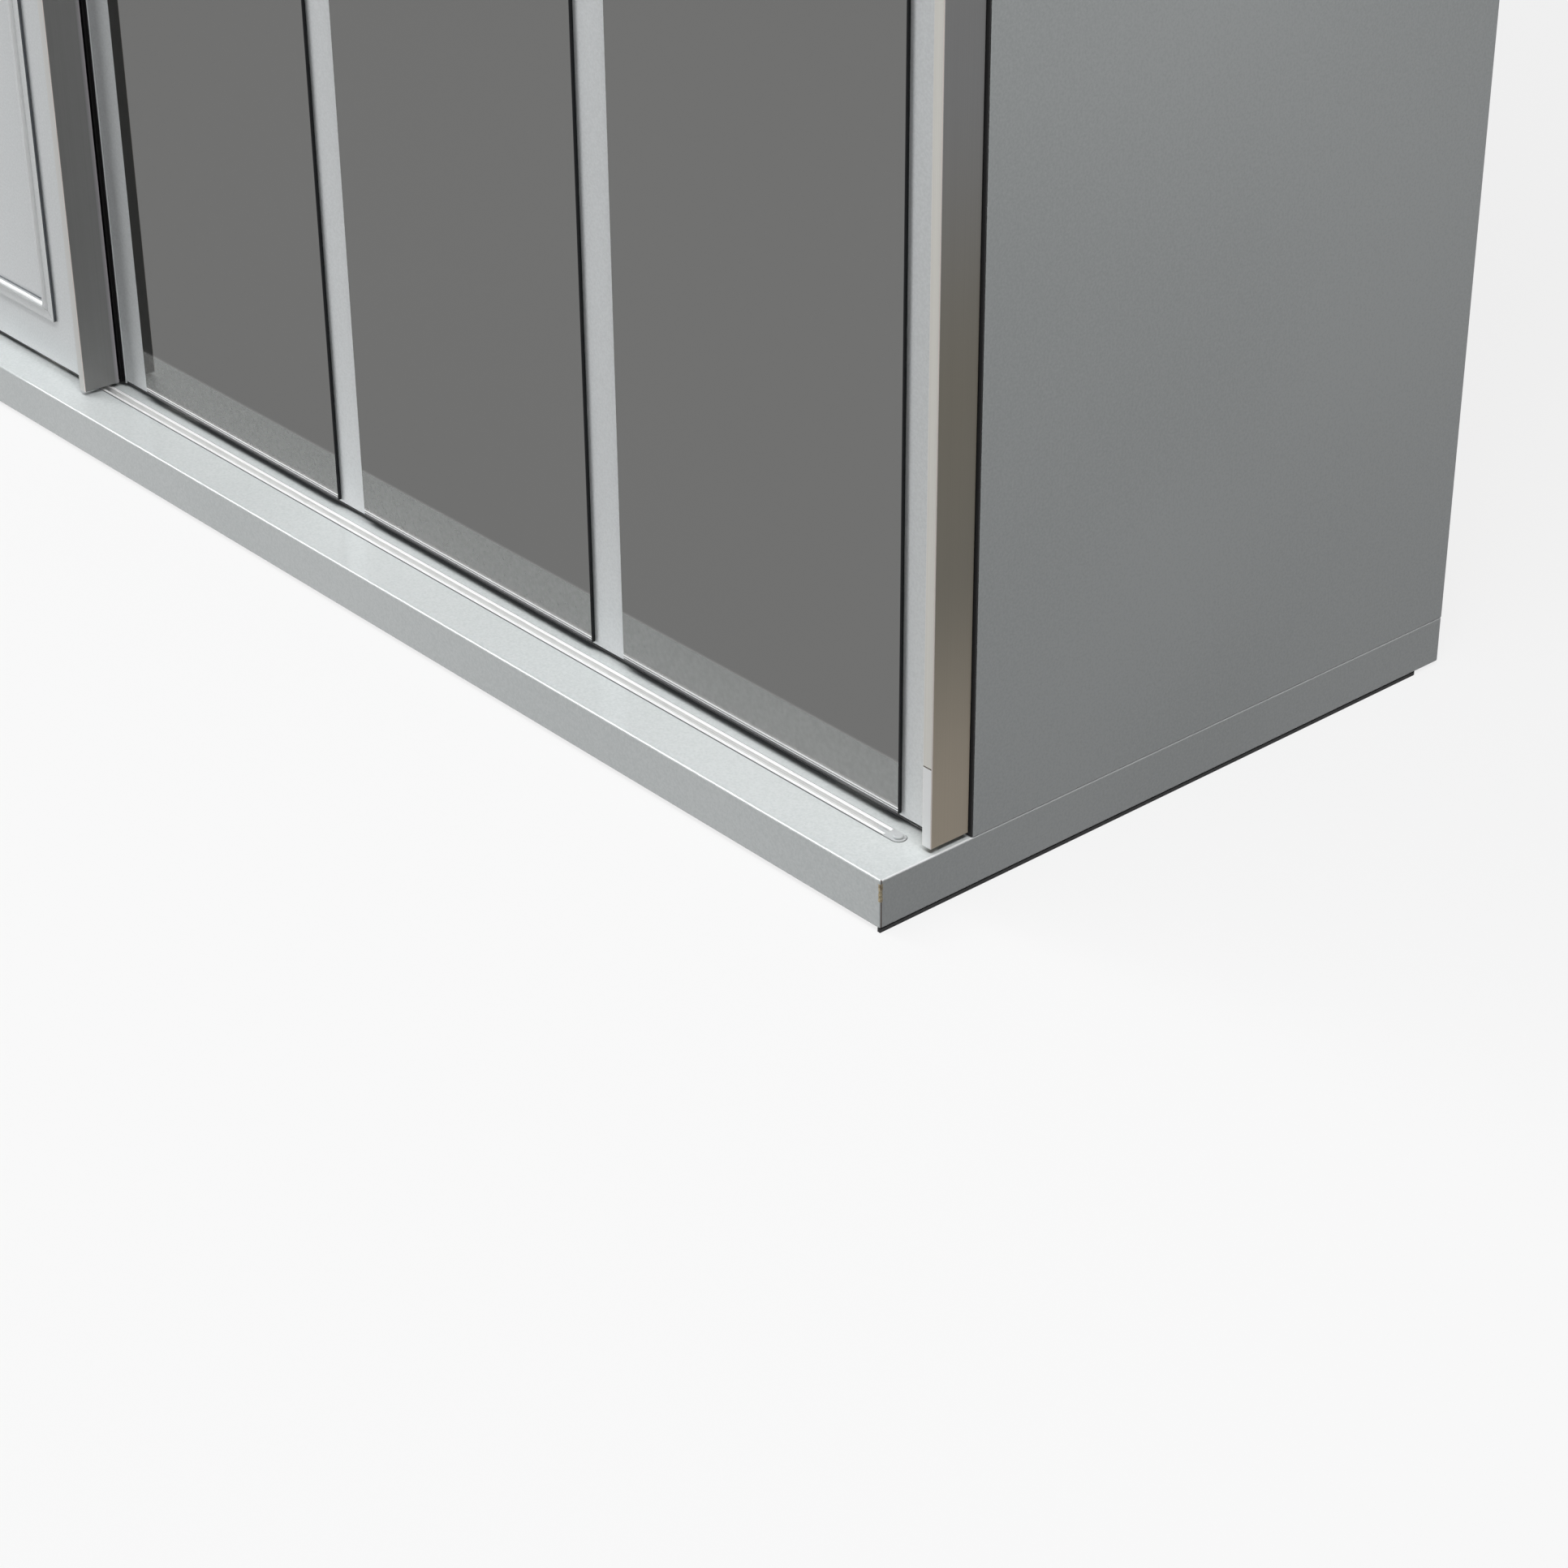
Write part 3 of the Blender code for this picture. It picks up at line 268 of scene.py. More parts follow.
def baseLaminate():
    # the base board's laminate: dirt lies along the rails and their plugs, at a steady distance from a line down their
    # middle; on the right end the edge band's glue line shows, the corner is chipped, and the upper arris has a painted
    # highlight
    material, tree, shader, spot, facing, colour = laminate("melamine laminate with edge band", baseBoard)
    low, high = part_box("base_panel")
    x, y, z = addNode(tree, "SeparateXYZ", {"Vector": spot}).outputs
    right, front, up = addNode(tree, "SeparateXYZ", {"Vector": facing}).outputs
    # painted highlight where the top rounds down to the right end
    highlightRounding = addNode(tree, "Math", {0: right, 1: up}, operation="MINIMUM")
    highlightRounding = addNode(tree, "MapRange", {"Value": highlightRounding, "From Min": 0.1, "From Max": 0.4})
    tones = {"Factor": highlightRounding, "A": colour, "B": hexColour(cornerWearAndHighlight["arris"])}
    colour = addNode(tree, "Mix", tones, data_type="RGBA")
    for rail in ("front", "rear"):
        railLow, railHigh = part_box("guide_rail_" + rail)
        half = (railHigh[1] - railLow[1]) / 2
        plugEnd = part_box("rail_plug_" + rail + "_right")[1][0]
        along = addNode(tree, "Math", {0: x}, operation="ABSOLUTE")
        along = addNode(tree, "Math", {0: along, 1: plugEnd - half}, operation="SUBTRACT")
        along = addNode(tree, "Math", {0: along, 1: 0.0}, operation="MAXIMUM")
        across = addNode(tree, "Math", {0: y, 1: (railLow[1] + railHigh[1]) / 2}, operation="SUBTRACT")
        apart = addNode(tree, "CombineXYZ", {"X": along, "Y": across})
        apart = addNode(tree, "VectorMath", {0: apart}, operation="LENGTH").outputs["Value"]
        seamAt = half + railSeam["off"] * mm
        line = addNode(tree, "Math", {0: apart, 1: seamAt, 2: railSeam["half"] * mm}, operation="COMPARE")
        tones = {"Factor": line, "A": colour, "B": hexColour(railSeam["dirt"])}
        colour = addNode(tree, "Mix", tones, data_type="RGBA")
    seamAt = low[1] + cornerWearAndHighlight["seamBehind"] * mm
    line = addNode(tree, "Math", {0: y, 1: seamAt, 2: cornerWearAndHighlight["seamHalf"] * mm}, operation="COMPARE")
    onEnd = addNode(tree, "Math", {0: right, 1: 0.3}, operation="GREATER_THAN")
    seam = addNode(tree, "Math", {0: line, 1: onEnd}, operation="MULTIPLY")
    tones = {"Factor": seam, "A": colour, "B": hexColour(cornerWearAndHighlight["seam"])}
    colour = addNode(tree, "Mix", tones, data_type="RGBA")
    inward = addNode(tree, "Math", {0: high[0], 1: x}, operation="SUBTRACT")
    behind = addNode(tree, "Math", {0: y, 1: low[1]}, operation="SUBTRACT")
    reach = addNode(tree, "Math", {0: inward, 1: behind}, operation="MAXIMUM")
    near = addNode(tree, "MapRange", {
        "Value": reach, "From Min": 0.0, "From Max": cornerWearAndHighlight["chipReach"] * mm, "To Min": 1.0, "To Max": 0.0,
    })
    middle = (cornerWearAndHighlight["chipFrom"] + cornerWearAndHighlight["chipTo"]) / 2
    run = (cornerWearAndHighlight["chipTo"] - cornerWearAndHighlight["chipFrom"]) / 2
    within = addNode(tree, "Math", {0: z, 1: middle, 2: run}, operation="COMPARE")
    grain = addNode(tree, "TexNoise", {"Vector": spot, "Scale": perMetre(cornerWearAndHighlight["chipGrain"]), "Detail": 2.0})
    ragged = addNode(tree, "Math", {0: near, 1: grain}, operation="MULTIPLY")
    ragged = addNode(tree, "Math", {0: ragged, 1: within}, operation="MULTIPLY")
    chip = addNode(tree, "Math", {0: ragged, 1: cornerWearAndHighlight["chipEdge"]}, operation="GREATER_THAN")
    chipGrain = addNode(tree, "MapRange", {"Value": grain, "From Min": 0.4, "From Max": 0.6})
    tones = {"Factor": chipGrain, "A": hexColour(cornerWearAndHighlight["chipDeep"]), "B": hexColour(cornerWearAndHighlight["chipPale"])}
    tones = {"Factor": chip, "A": colour, "B": addNode(tree, "Mix", tones, data_type="RGBA")}
    setInputs(tree, shader, {"Base Color": addNode(tree, "Mix", tones, data_type="RGBA")})
    return material


# Mirrors

greyMirror = {
    "tint": "#747473",
    "grazing": "#cfcfcf",
    "edge": "#101114",
    # painted highlight on the arris where the edges turn to the left or down
    "arris": "#d4d8da",
    # painted reflection of the rail along the lower edge: a darker band and two bright lines
    "bevel": "#646566",
    "bevelLine": "#f6f7f7",
    "bevelLines": ((3.2, 0.45), (5.4, 0.8)),  # mm above the lower edge, and half the line's width
    # painted reflection of the ledge on the mirror's lower part
    "ledgeReflection": "#d8d8d6",
    "ledgeReflectionFrom": 45.0,  # mm above the lower edge, where the painted reflection of the ledge starts to thin out
    "ledgeReflectionTo": 49.0,
    "ledgeReflectionMost": 0.62,
    "ledgeReflectionGrain": 4.0,  # mm; grain that breaks up the painted reflection of the ledge
    "gloss": 0.022,
    "wave": 260.0,  # mm between the slow waves of float glass
    "waveDepth": 0.02,  # mm
}


def mirrorGlass():
    # grey tinted float glass, silvered behind: a sharp dark reflection, black edges, a painted highlight on the arris
    # where they turn to the left or down, and painted reflections of the rail along the lower edge and of the ledge
    # above it
    material, tree, shader, spot, facing = startMaterial("grey silvered glass", {"Specular Tint": hexColour(greyMirror["grazing"])})
    low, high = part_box("mirror_3")
    z = addNode(tree, "SeparateXYZ", {"Vector": spot}).outputs["Z"]
    rightward, front, upward = addNode(tree, "SeparateXYZ", {"Vector": facing}).outputs
    front = addNode(tree, "Math", {0: front}, operation="ABSOLUTE")
    onEdge = addNode(tree, "Math", {0: front, 1: 0.9}, operation="LESS_THAN")
    # painted highlight on the arris, only where it does not face right
    onPaintedArrisHighlight = addNode(tree, "Math", {0: front, 1: 0.7, 2: 0.2}, operation="COMPARE")
    notRight = addNode(tree, "Math", {0: rightward, 1: 0.1}, operation="LESS_THAN")
    onPaintedArrisHighlight = addNode(tree, "Math", {0: onPaintedArrisHighlight, 1: notRight}, operation="MULTIPLY")
    # painted reflection of the rail: a darker band, not silvered, up to the upper bright line
    bevelTop = low[2] + sum(greyMirror["bevelLines"][-1]) * mm
    onFace = addNode(tree, "Math", {0: front, 1: 0.9}, operation="GREATER_THAN")
    bevel = addNode(tree, "Math", {0: z, 1: bevelTop}, operation="LESS_THAN")
    bevel = addNode(tree, "Math", {0: bevel, 1: onFace}, operation="MULTIPLY")
    # painted reflection of the ledge: paler over the lower part, with less silvering
    rise = addNode(tree, "MapRange", {
        "Value": z, "From Min": low[2] + greyMirror["ledgeReflectionFrom"] * mm, "From Max": low[2] + greyMirror["ledgeReflectionTo"] * mm,
        "To Min": greyMirror["ledgeReflectionMost"], "To Max": 0.0,
    }, interpolation_type="SMOOTHSTEP")
    grain = addNode(tree, "TexNoise", {"Vector": spot, "Scale": perMetre(greyMirror["ledgeReflectionGrain"]), "Detail": 3.0})
    thin = addNode(tree, "MapRange", {
        "Value": grain, "From Min": 0.3, "From Max": 0.7, "To Min": 0.46, "To Max": 0.54,
    })
    ledgeReflection = addNode(tree, "Math", {0: rise, 1: thin}, operation="MULTIPLY")
    tones = {"Factor": ledgeReflection, "A": hexColour(greyMirror["tint"]), "B": hexColour(greyMirror["ledgeReflection"])}
    face = addNode(tree, "Mix", tones, data_type="RGBA")
    tones = {"Factor": bevel, "A": face, "B": hexColour(greyMirror["bevel"])}
    face = addNode(tree, "Mix", tones, data_type="RGBA")
    for rise, half in greyMirror["bevelLines"]:
        line = addNode(tree, "Math", {0: z, 1: low[2] + rise * mm, 2: half * mm}, operation="COMPARE")
        tones = {"Factor": line, "A": face, "B": hexColour(greyMirror["bevelLine"])}
        face = addNode(tree, "Mix", tones, data_type="RGBA")
    tones = {"Factor": onEdge, "A": face, "B": hexColour(greyMirror["edge"])}
    rim = addNode(tree, "Mix", tones, data_type="RGBA")
    tones = {"Factor": onPaintedArrisHighlight, "A": rim, "B": hexColour(greyMirror["arris"])}
    colour = addNode(tree, "Mix", tones, data_type="RGBA")
    bare = addNode(tree, "Math", {0: 1.0, 1: ledgeReflection}, operation="SUBTRACT")
    groundEdgeAndRailBand = addNode(tree, "Math", {0: onEdge, 1: bevel}, operation="MAXIMUM")
    metal = addNode(tree, "Math", {0: bare, 1: groundEdgeAndRailBand}, operation="SUBTRACT", use_clamp=True)
    rough = addNode(tree, "Mix", {"Factor": groundEdgeAndRailBand, "A": greyMirror["gloss"], "B": 0.25})
    wave = addNode(tree, "TexNoise", {"Vector": spot, "Scale": perMetre(greyMirror["wave"]), "Detail": 0.0})
    relief = addNode(tree, "Bump", {"Height": wave, "Distance": greyMirror["waveDepth"] * mm})
    setInputs(tree, shader, {"Base Color": colour, "Metallic": metal, "Roughness": rough, "Normal": relief})
    return material


# Drawn and anodised aluminium

doorProfile = {
    # lit front, shaded flanks and highlights on the arris and rear edge are painted light and shade
    "lip": "#c8c8c5",
    "arris": "#fdf2ec",
    "shadedFlank": "#868685",
    "heelHighlight": "#b4b0b4",  # painted highlight on the rounded rear edge
    "line": 0.8,  # mm between die lines
    "lineRun": 900.0,  # mm that a line keeps its tone
    "lineTone": 0.035,
    "lineDepth": 0.004,  # mm
    "metallic": 0.15,
    "rough": 0.34,
}
guideRail = {
    "lip": "#f6f6f5",
    "arris": "#f8f8f7",
    "shadedFlank": "#fafafa",
    "heelHighlight": "#fafafa",
    "line": 0.7,
    "lineRun": 700.0,
    "lineTone": 0.02,
    "lineDepth": 0.001,
    "metallic": 0.1,
    "rough": 0.3,
}


def drawnMetal(name, look, run):
    # anodised extrusion: the die's fine lines, a satin sheen, and painted light and shade by facing: a lit front,
    # shaded flanks, highlights
    material, tree, shader, spot, facing = startMaterial(name, {"Metallic": look["metallic"]})
    spread = [look["line"] / look["lineRun"] if axis == run else 1.0 for axis in "XYZ"]
    drawn = addNode(tree, "Mapping", {"Vector": spot, "Scale": spread})
    lines = addNode(tree, "TexNoise", {"Vector": drawn, "Scale": perMetre(look["line"]), "Detail": 2.0})
    front = addNode(tree, "SeparateXYZ", {"Vector": facing}).outputs["Y"]
    # painted light and shade: each tone follows which way the face turns
    highlightRounding = addNode(tree, "MapRange", {"Value": front, "From Min": -0.15, "From Max": -0.5})
    flat = addNode(tree, "MapRange", {"Value": front, "From Min": -0.75, "From Max": -0.97})
    heelHighlight = addNode(tree, "MapRange", {"Value": front, "From Min": 0.1, "From Max": 0.4})
    tones = {"Factor": heelHighlight, "A": hexColour(look["shadedFlank"]), "B": hexColour(look["heelHighlight"])}
    side = addNode(tree, "Mix", tones, data_type="RGBA")
    tones = {"Factor": highlightRounding, "A": side, "B": hexColour(look["arris"])}
    tones = {"Factor": flat, "A": addNode(tree, "Mix", tones, data_type="RGBA"), "B": hexColour(look["lip"])}
    plain = addNode(tree, "Mix", tones, data_type="RGBA")
    tone = addNode(tree, "MapRange", {
        "Value": lines, "From Min": 0.3, "From Max": 0.7,
        "To Min": 1.0 - look["lineTone"], "To Max": 1.0 + look["lineTone"],
    })
    colour = addNode(tree, "VectorMath", {0: plain, "Scale": tone}, operation="SCALE")
    rough = addNode(tree, "MapRange", {
        "Value": lines, "From Min": 0.3, "From Max": 0.7,
        "To Min": look["rough"] * 0.85, "To Max": look["rough"] * 1.15,
    })
    relief = addNode(tree, "Bump", {"Height": lines, "Distance": look["lineDepth"] * mm})
    setInputs(tree, shader, {"Base Color": colour, "Roughness": rough, "Normal": relief})
    return material, tree, shader, spot, facing, colour


rearHighlight = {"width": 5.0}  # mm of the flank that the painted highlight spans before it rounds


def openingHandle(node):
    # the front door's handles: satin anodising with a painted highlight towards the rear edge of the flank
    material, tree, shader, spot, facing, colour = drawnMetal("satin anodised aluminium", doorProfile, "Z")
    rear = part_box(node)[1][1]
    y = addNode(tree, "SeparateXYZ", {"Vector": spot}).outputs["Y"]
    # painted highlight brightening towards the rear edge
    near = addNode(tree, "MapRange", {"Value": y, "From Min": rear - rearHighlight["width"] * mm, "From Max": rear})
    tones = {"Factor": near, "A": colour, "B": hexColour(doorProfile["heelHighlight"])}
    setInputs(tree, shader, {"Base Color": addNode(tree, "Mix", tones, data_type="RGBA")})
    return material


railEdge = {"dark": "#7b7d7f", "width": 0.35}  # mm


def slottedRail(node):
    # a guide rail's bright metal, dulled grey along its two outer edges, where the ledge meets it
    material, tree, shader, spot, facing, colour = drawnMetal("bright anodised aluminium", guideRail, "X")
    low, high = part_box(node)
    y = addNode(tree, "SeparateXYZ", {"Vector": spot}).outputs["Y"]
    inner = (high[1] - low[1]) / 2 - railEdge["width"] * mm
    within = addNode(tree, "Math", {0: y, 1: (low[1] + high[1]) / 2, 2: inner}, operation="COMPARE")
    tones = {"Factor": within, "A": hexColour(railEdge["dark"]), "B": colour}
    setInputs(tree, shader, {"Base Color": addNode(tree, "Mix", tones, data_type="RGBA")})
    return material


closingProfile = dict(doorProfile, lip="#d8d6cf", shadedFlank="#ffffff", heelHighlight="#ffffff")
# painted reflection on the flank by height, and a scratch across the lip
handleReflectionAndWear = {
    "high": "#8f8f8f",
    "middle": "#868072",
    "low": "#bfb29e",
    "lipLow": "#e8e9e9",  # the lip under the scratch
    "highFrom": 0.42,  # height where the flank starts to turn grey
    "highTo": 0.68,
    "lowFrom": 0.30,
    "lowTo": 0.07,
    "mark": "#5c554c",
    "markRise": 0.1228,  # height of the scratch across the lip
    "markHalf": 0.6,  # mm
}


def closingHandle():
    # the closing handle's anodising: a painted reflection on the flank, grey at the top, warm lower down, pale near the
    # ledge; a scratched lip
    material, tree, shader, spot, facing, colour = drawnMetal("champagne anodised aluminium", closingProfile, "Z")
    z = addNode(tree, "SeparateXYZ", {"Vector": spot}).outputs["Z"]
    front = addNode(tree, "SeparateXYZ", {"Vector": facing}).outputs["Y"]
    high = {"Value": z, "From Min": handleReflectionAndWear["highFrom"], "From Max": handleReflectionAndWear["highTo"]}
    high = addNode(tree, "MapRange", high, interpolation_type="SMOOTHSTEP")
    low = {"Value": z, "From Min": handleReflectionAndWear["lowFrom"], "From Max": handleReflectionAndWear["lowTo"]}
    low = addNode(tree, "MapRange", low, interpolation_type="SMOOTHSTEP")
    tones = {"Factor": high, "A": hexColour(handleReflectionAndWear["middle"]), "B": hexColour(handleReflectionAndWear["high"])}
    tones = {"Factor": low, "A": addNode(tree, "Mix", tones, data_type="RGBA"), "B": hexColour(handleReflectionAndWear["low"])}
    tint = addNode(tree, "Mix", tones, data_type="RGBA")
    # painted reflection: the flank's colour is tinted by height
    onFlank = addNode(tree, "MapRange", {"Value": front, "From Min": -0.4, "From Max": -0.15})
    tones = {"Factor": onFlank, "A": colour, "B": tint}
    reflectedAndWorn = addNode(tree, "Mix", tones, data_type="RGBA", blend_type="MULTIPLY")
    onLip = addNode(tree, "Math", {0: front, 1: -0.9}, operation="LESS_THAN")
    under = addNode(tree, "Math", {0: z, 1: handleReflectionAndWear["markRise"]}, operation="LESS_THAN")
    under = addNode(tree, "Math", {0: under, 1: onLip}, operation="MULTIPLY")
    tones = {"Factor": under, "A": reflectedAndWorn, "B": hexColour(handleReflectionAndWear["lipLow"])}
    reflectedAndWorn = addNode(tree, "Mix", tones, data_type="RGBA")
    mark = {0: z, 1: handleReflectionAndWear["markRise"], 2: handleReflectionAndWear["markHalf"] * mm}
    mark = addNode(tree, "Math", mark, operation="COMPARE")
    scratch = addNode(tree, "Math", {0: mark, 1: onLip}, operation="MULTIPLY")
    tones = {"Factor": scratch, "A": reflectedAndWorn, "B": hexColour(handleReflectionAndWear["mark"])}
    setInputs(tree, shader, {"Base Color": addNode(tree, "Mix", tones, data_type="RGBA")})
    return material


# painted black: the strip stands in for the shade in the gap between the doors
gapShadeProfile = dict(
    doorProfile, lip="#070708", arris="#0b0b0c", shadedFlank="#060607", heelHighlight="#060607", rough=0.4, metallic=0.0,
)
stripEdge = {"pale": "#c9cccc", "width": 0.4}  # width in mm


def gapShadeStrip():
    # black edge strip, painted black to stand in for the shade in the gap between the doors, with a pale line along its
    # inner edge
    material, tree, shader, spot, facing, colour = drawnMetal("black aluminium standing in for gap shade", gapShadeProfile, "Z")
    low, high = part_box("rear_edge_strip")
    x = addNode(tree, "SeparateXYZ", {"Vector": spot}).outputs["X"]
    inner = addNode(tree, "Math", {0: x, 1: high[0] - stripEdge["width"] * mm}, operation="GREATER_THAN")
    tones = {"Factor": inner, "A": colour, "B": hexColour(stripEdge["pale"])}
    setInputs(tree, shader, {"Base Color": addNode(tree, "Mix", tones, data_type="RGBA")})
    return material


# Lacquer, hardboard, plastic, rubber and plated steel

# the rounded half takes a painted highlight, the edges painted shade
beadStrip = {"deep": "#c4c7c8", "pale": "#dfe1e1", "roll": "#eef0f0", "edge": "#62666a", "fleck": 1.6}  # fleck in mm


def beadLacquer():
    # silver lacquer on a drawn strip: smooth with a faint metal fleck, a painted highlight along its rounded half,
    # painted shade at its edges
    material, tree, shader, spot, facing = startMaterial("silver lacquered strip", {"IOR": 1.5, "Metallic": 0.1})
    fleck = addNode(tree, "TexNoise", {"Vector": spot, "Scale": perMetre(beadStrip["fleck"]), "Detail": 2.0})
    tones = {"Factor": fleck, "A": hexColour(beadStrip["deep"]), "B": hexColour(beadStrip["pale"])}
    plain = addNode(tree, "Mix", tones, data_type="RGBA")
    front = addNode(tree, "SeparateXYZ", {"Vector": facing}).outputs["Y"]
    roll = addNode(tree, "MapRange", {"Value": front, "From Min": -0.985, "From Max": -0.93})
    tones = {"Factor": roll, "A": plain, "B": hexColour(beadStrip["roll"])}
    rolled = addNode(tree, "Mix", tones, data_type="RGBA")
    # painted shade on the faces turned towards the edges
    edge = addNode(tree, "MapRange", {"Value": front, "From Min": -0.5, "From Max": -0.25})
    tones = {"Factor": edge, "A": rolled, "B": hexColour(beadStrip["edge"])}
    rough = addNode(tree, "MapRange", {"Value": fleck, "To Min": 0.12, "To Max": 0.22})
    setInputs(tree, shader, {"Base Color": addNode(tree, "Mix", tones, data_type="RGBA"), "Roughness": rough})
    return material


def hardboard():
    # wood fibre pressed hard: a white lacquered face to the front, and behind it bare brown with the sieve's mesh
    material, tree, shader, spot, facing = startMaterial("white faced hardboard", {"IOR": 1.5})
    fibre = addNode(tree, "TexNoise", {"Vector": spot, "Scale": perMetre(9.0), "Detail": 6.0, "Roughness": 0.7})
    brown = {"Factor": fibre, "A": hexColour("#6e5137"), "B": hexColour("#a98a66")}
    brown = addNode(tree, "Mix", brown, data_type="RGBA")
    white = {"Factor": fibre, "A": hexColour("#dadad6"), "B": hexColour("#e9e9e6")}
    white = addNode(tree, "Mix", white, data_type="RGBA")
    back = addNode(tree, "SeparateXYZ", {"Vector": facing}).outputs["Y"]
    back = addNode(tree, "Math", {0: back, 1: 0.5}, operation="GREATER_THAN")
    colour = addNode(tree, "Mix", {"Factor": back, "A": white, "B": brown}, data_type="RGBA")
    rough = addNode(tree, "Mix", {"Factor": back, "A": 0.35, "B": 0.82})
    # the sieve's mesh is about 1.5 mm, drawn at 9 mm so that it shows; 20 waves of the texture take 2 pi units
    mesh = perMetre(9.0) * 2 * math.pi / 20
    across = addNode(tree, "TexWave", {"Vector": spot, "Scale": mesh}, bands_direction="X")
    upward = addNode(tree, "TexWave", {"Vector": spot, "Scale": mesh}, bands_direction="Z")
    mesh = addNode(tree, "Math", {0: across, 1: upward}, operation="MULTIPLY")
    mesh = addNode(tree, "Math", {0: mesh, 1: back}, operation="MULTIPLY")
    relief = addNode(tree, "Bump", {"Height": mesh, "Distance": 0.25 * mm})
    setInputs(tree, shader, {"Base Color": colour, "Roughness": rough, "Normal": relief})
    return material


def moulded(name, pale, deep, rough, grain):
    # moulded plastic or rubber: one colour through and through, slightly cloudy, with the mould's spark-eroded grain
    material, tree, shader, spot, facing = startMaterial(name, {"IOR": 1.5})
    cloud = addNode(tree, "TexNoise", {"Vector": spot, "Scale": perMetre(22.0), "Detail": 3.0})
    pits = addNode(tree, "TexNoise", {"Vector": spot, "Scale": perMetre(grain), "Detail": 2.0})
    tones = {"Factor": cloud, "A": hexColour(deep), "B": hexColour(pale)}
    sheen = addNode(tree, "MapRange", {"Value": pits, "To Min": rough * 0.8, "To Max": rough * 1.2})
    relief = addNode(tree, "Bump", {"Height": pits, "Distance": 0.05 * mm})
    colour = addNode(tree, "Mix", tones, data_type="RGBA")
    setInputs(tree, shader, {"Base Color": colour, "Roughness": sheen, "Normal": relief})
    return material


def plated(name, pale, deep, rough, patch):
    # plated steel: a bright metal skin over pressed steel, cloudy where the bath left it thicker
    material, tree, shader, spot, facing = startMaterial(name, {"Metallic": 1.0})
    cloud = addNode(tree, "TexNoise", {"Vector": spot, "Scale": perMetre(patch), "Detail": 4.0})
    tones = {"Factor": cloud, "A": hexColour(deep), "B": hexColour(pale)}
    sheen = addNode(tree, "MapRange", {"Value": cloud, "To Min": rough * 0.6, "To Max": rough * 1.4})
    colour = addNode(tree, "Mix", tones, data_type="RGBA")
    setInputs(tree, shader, {"Base Color": colour, "Roughness": sheen})
    return material


finishes = {
    "silver_laminate": laminate("silver melamine laminate", silverBoard)[0],
    "grey_door_board": doorLaminate(),
    "grey_mirror": mirrorGlass(),
    "warm_aluminium": drawnMetal("satin anodised aluminium", doorProfile, "Z")[0],
    "bright_aluminium": drawnMetal("bright anodised aluminium", guideRail, "X")[0],
    "bead_lacquer": beadLacquer(),
    "white_hardboard": hardboard(),
    "zinc_steel": plated("zinc plated steel", "#d3d5d8", "#aeb0b6", 0.3, 16.0),
    "chrome": plated("chromed steel", "#e4e6e6", "#d4d6d6", 0.06, 60.0),
    "white_nylon": moulded("moulded white nylon", "#e9e8e2", "#dcdbd4", 0.4, 1.4),
    "grey_plastic": moulded("moulded grey plastic", "#c3c6c7", "#b2b5b6", 0.38, 1.2),
    "black_rubber": moulded("matt black rubber", "#242425", "#161617", 0.7, 1.8),
}
ownFinish = {
    "base_panel": baseLaminate(),
    "guide_rail_front": slottedRail("guide_rail_front"),
    "guide_rail_rear": slottedRail("guide_rail_rear"),
    "front_handle_left": openingHandle("front_handle_left"),
    "front_handle_right": openingHandle("front_handle_right"),
    "rear_handle": closingHandle(),
    "rear_edge_strip": gapShadeStrip(),
}

for entry in frame["record"]["subparts"]:
    slots = frame["nodes"][entry["node"]].data.materials
    slots.clear()
    slots.append(ownFinish.get(entry["node"], finishes[entry["material_slot"]]))
print("finishes:", len(finishes) + len(ownFinish))


# Screws, nails and caps: turned heads, set in rows

panHead = {"radius": 4.2, "skirt": 0.6, "crown": 1.9, "rings": 12, "sectors": 40,
           "cross": 2.5, "armHalf": 0.55, "deep": 1.2}
nailHead = {"radius": 3.2, "skirt": 0.2, "crown": 0.5, "rings": 4, "sectors": 16, "cross": 0.0}
coverCap = {"radius": 6.5, "skirt": 0.6, "crown": 0.7, "rings": 5, "sectors": 32, "cross": 0.0}


def turnedHead(shape):
    # crown height is the root of one minus the squared share of the radius, over a straight skirt and flat underside;
    # the cross lowers it where a point lies within half an arm's width of either axis and inside the arms' reach
    turn = np.linspace(0.0, 2 * np.pi, shape["sectors"], endpoint=False)
    share = np.linspace(1.0, 0.0, shape["rings"] + 1)[:-1]
    radius = np.concatenate([[1.0], share])[:, None] * shape["radius"]
    height = shape["skirt"] + shape["crown"] * np.sqrt(1.0 - 0.97 * share ** 2)
    height = np.concatenate([[0.0], height])[:, None] + 0.0 * turn
    across, along = radius * np.cos(turn), radius * np.sin(turn)
    if shape["cross"]:
        inArm = np.minimum(abs(across), abs(along)) < shape["armHalf"]
        inCross = inArm & (np.hypot(across, along) < shape["cross"]) & (height > shape["skirt"])
        height = height - shape["deep"] * inCross
    ring = np.stack([across, along, height], axis=-1).reshape(-1, 3)
    crownTop = shape["skirt"] + shape["crown"] - (shape["deep"] if shape["cross"] else 0.0)
    points = np.concatenate([ring, [[0.0, 0.0, 0.0], [0.0, 0.0, crownTop]]]) * mm
    rows, columns = len(radius), shape["sectors"]
    number = np.arange(rows * columns).reshape(rows, columns)
    after = np.roll(number, -1, axis=1)
    quads = np.stack([number[:-1], after[:-1], after[1:], number[1:]], axis=-1).reshape(-1, 4)
    under = np.stack([after[0], number[0], 0 * number[0] + rows * columns], axis=-1)
    top = np.stack([number[-1], after[-1], 0 * number[0] + rows * columns + 1], axis=-1)
    return points, [quads, under, top]


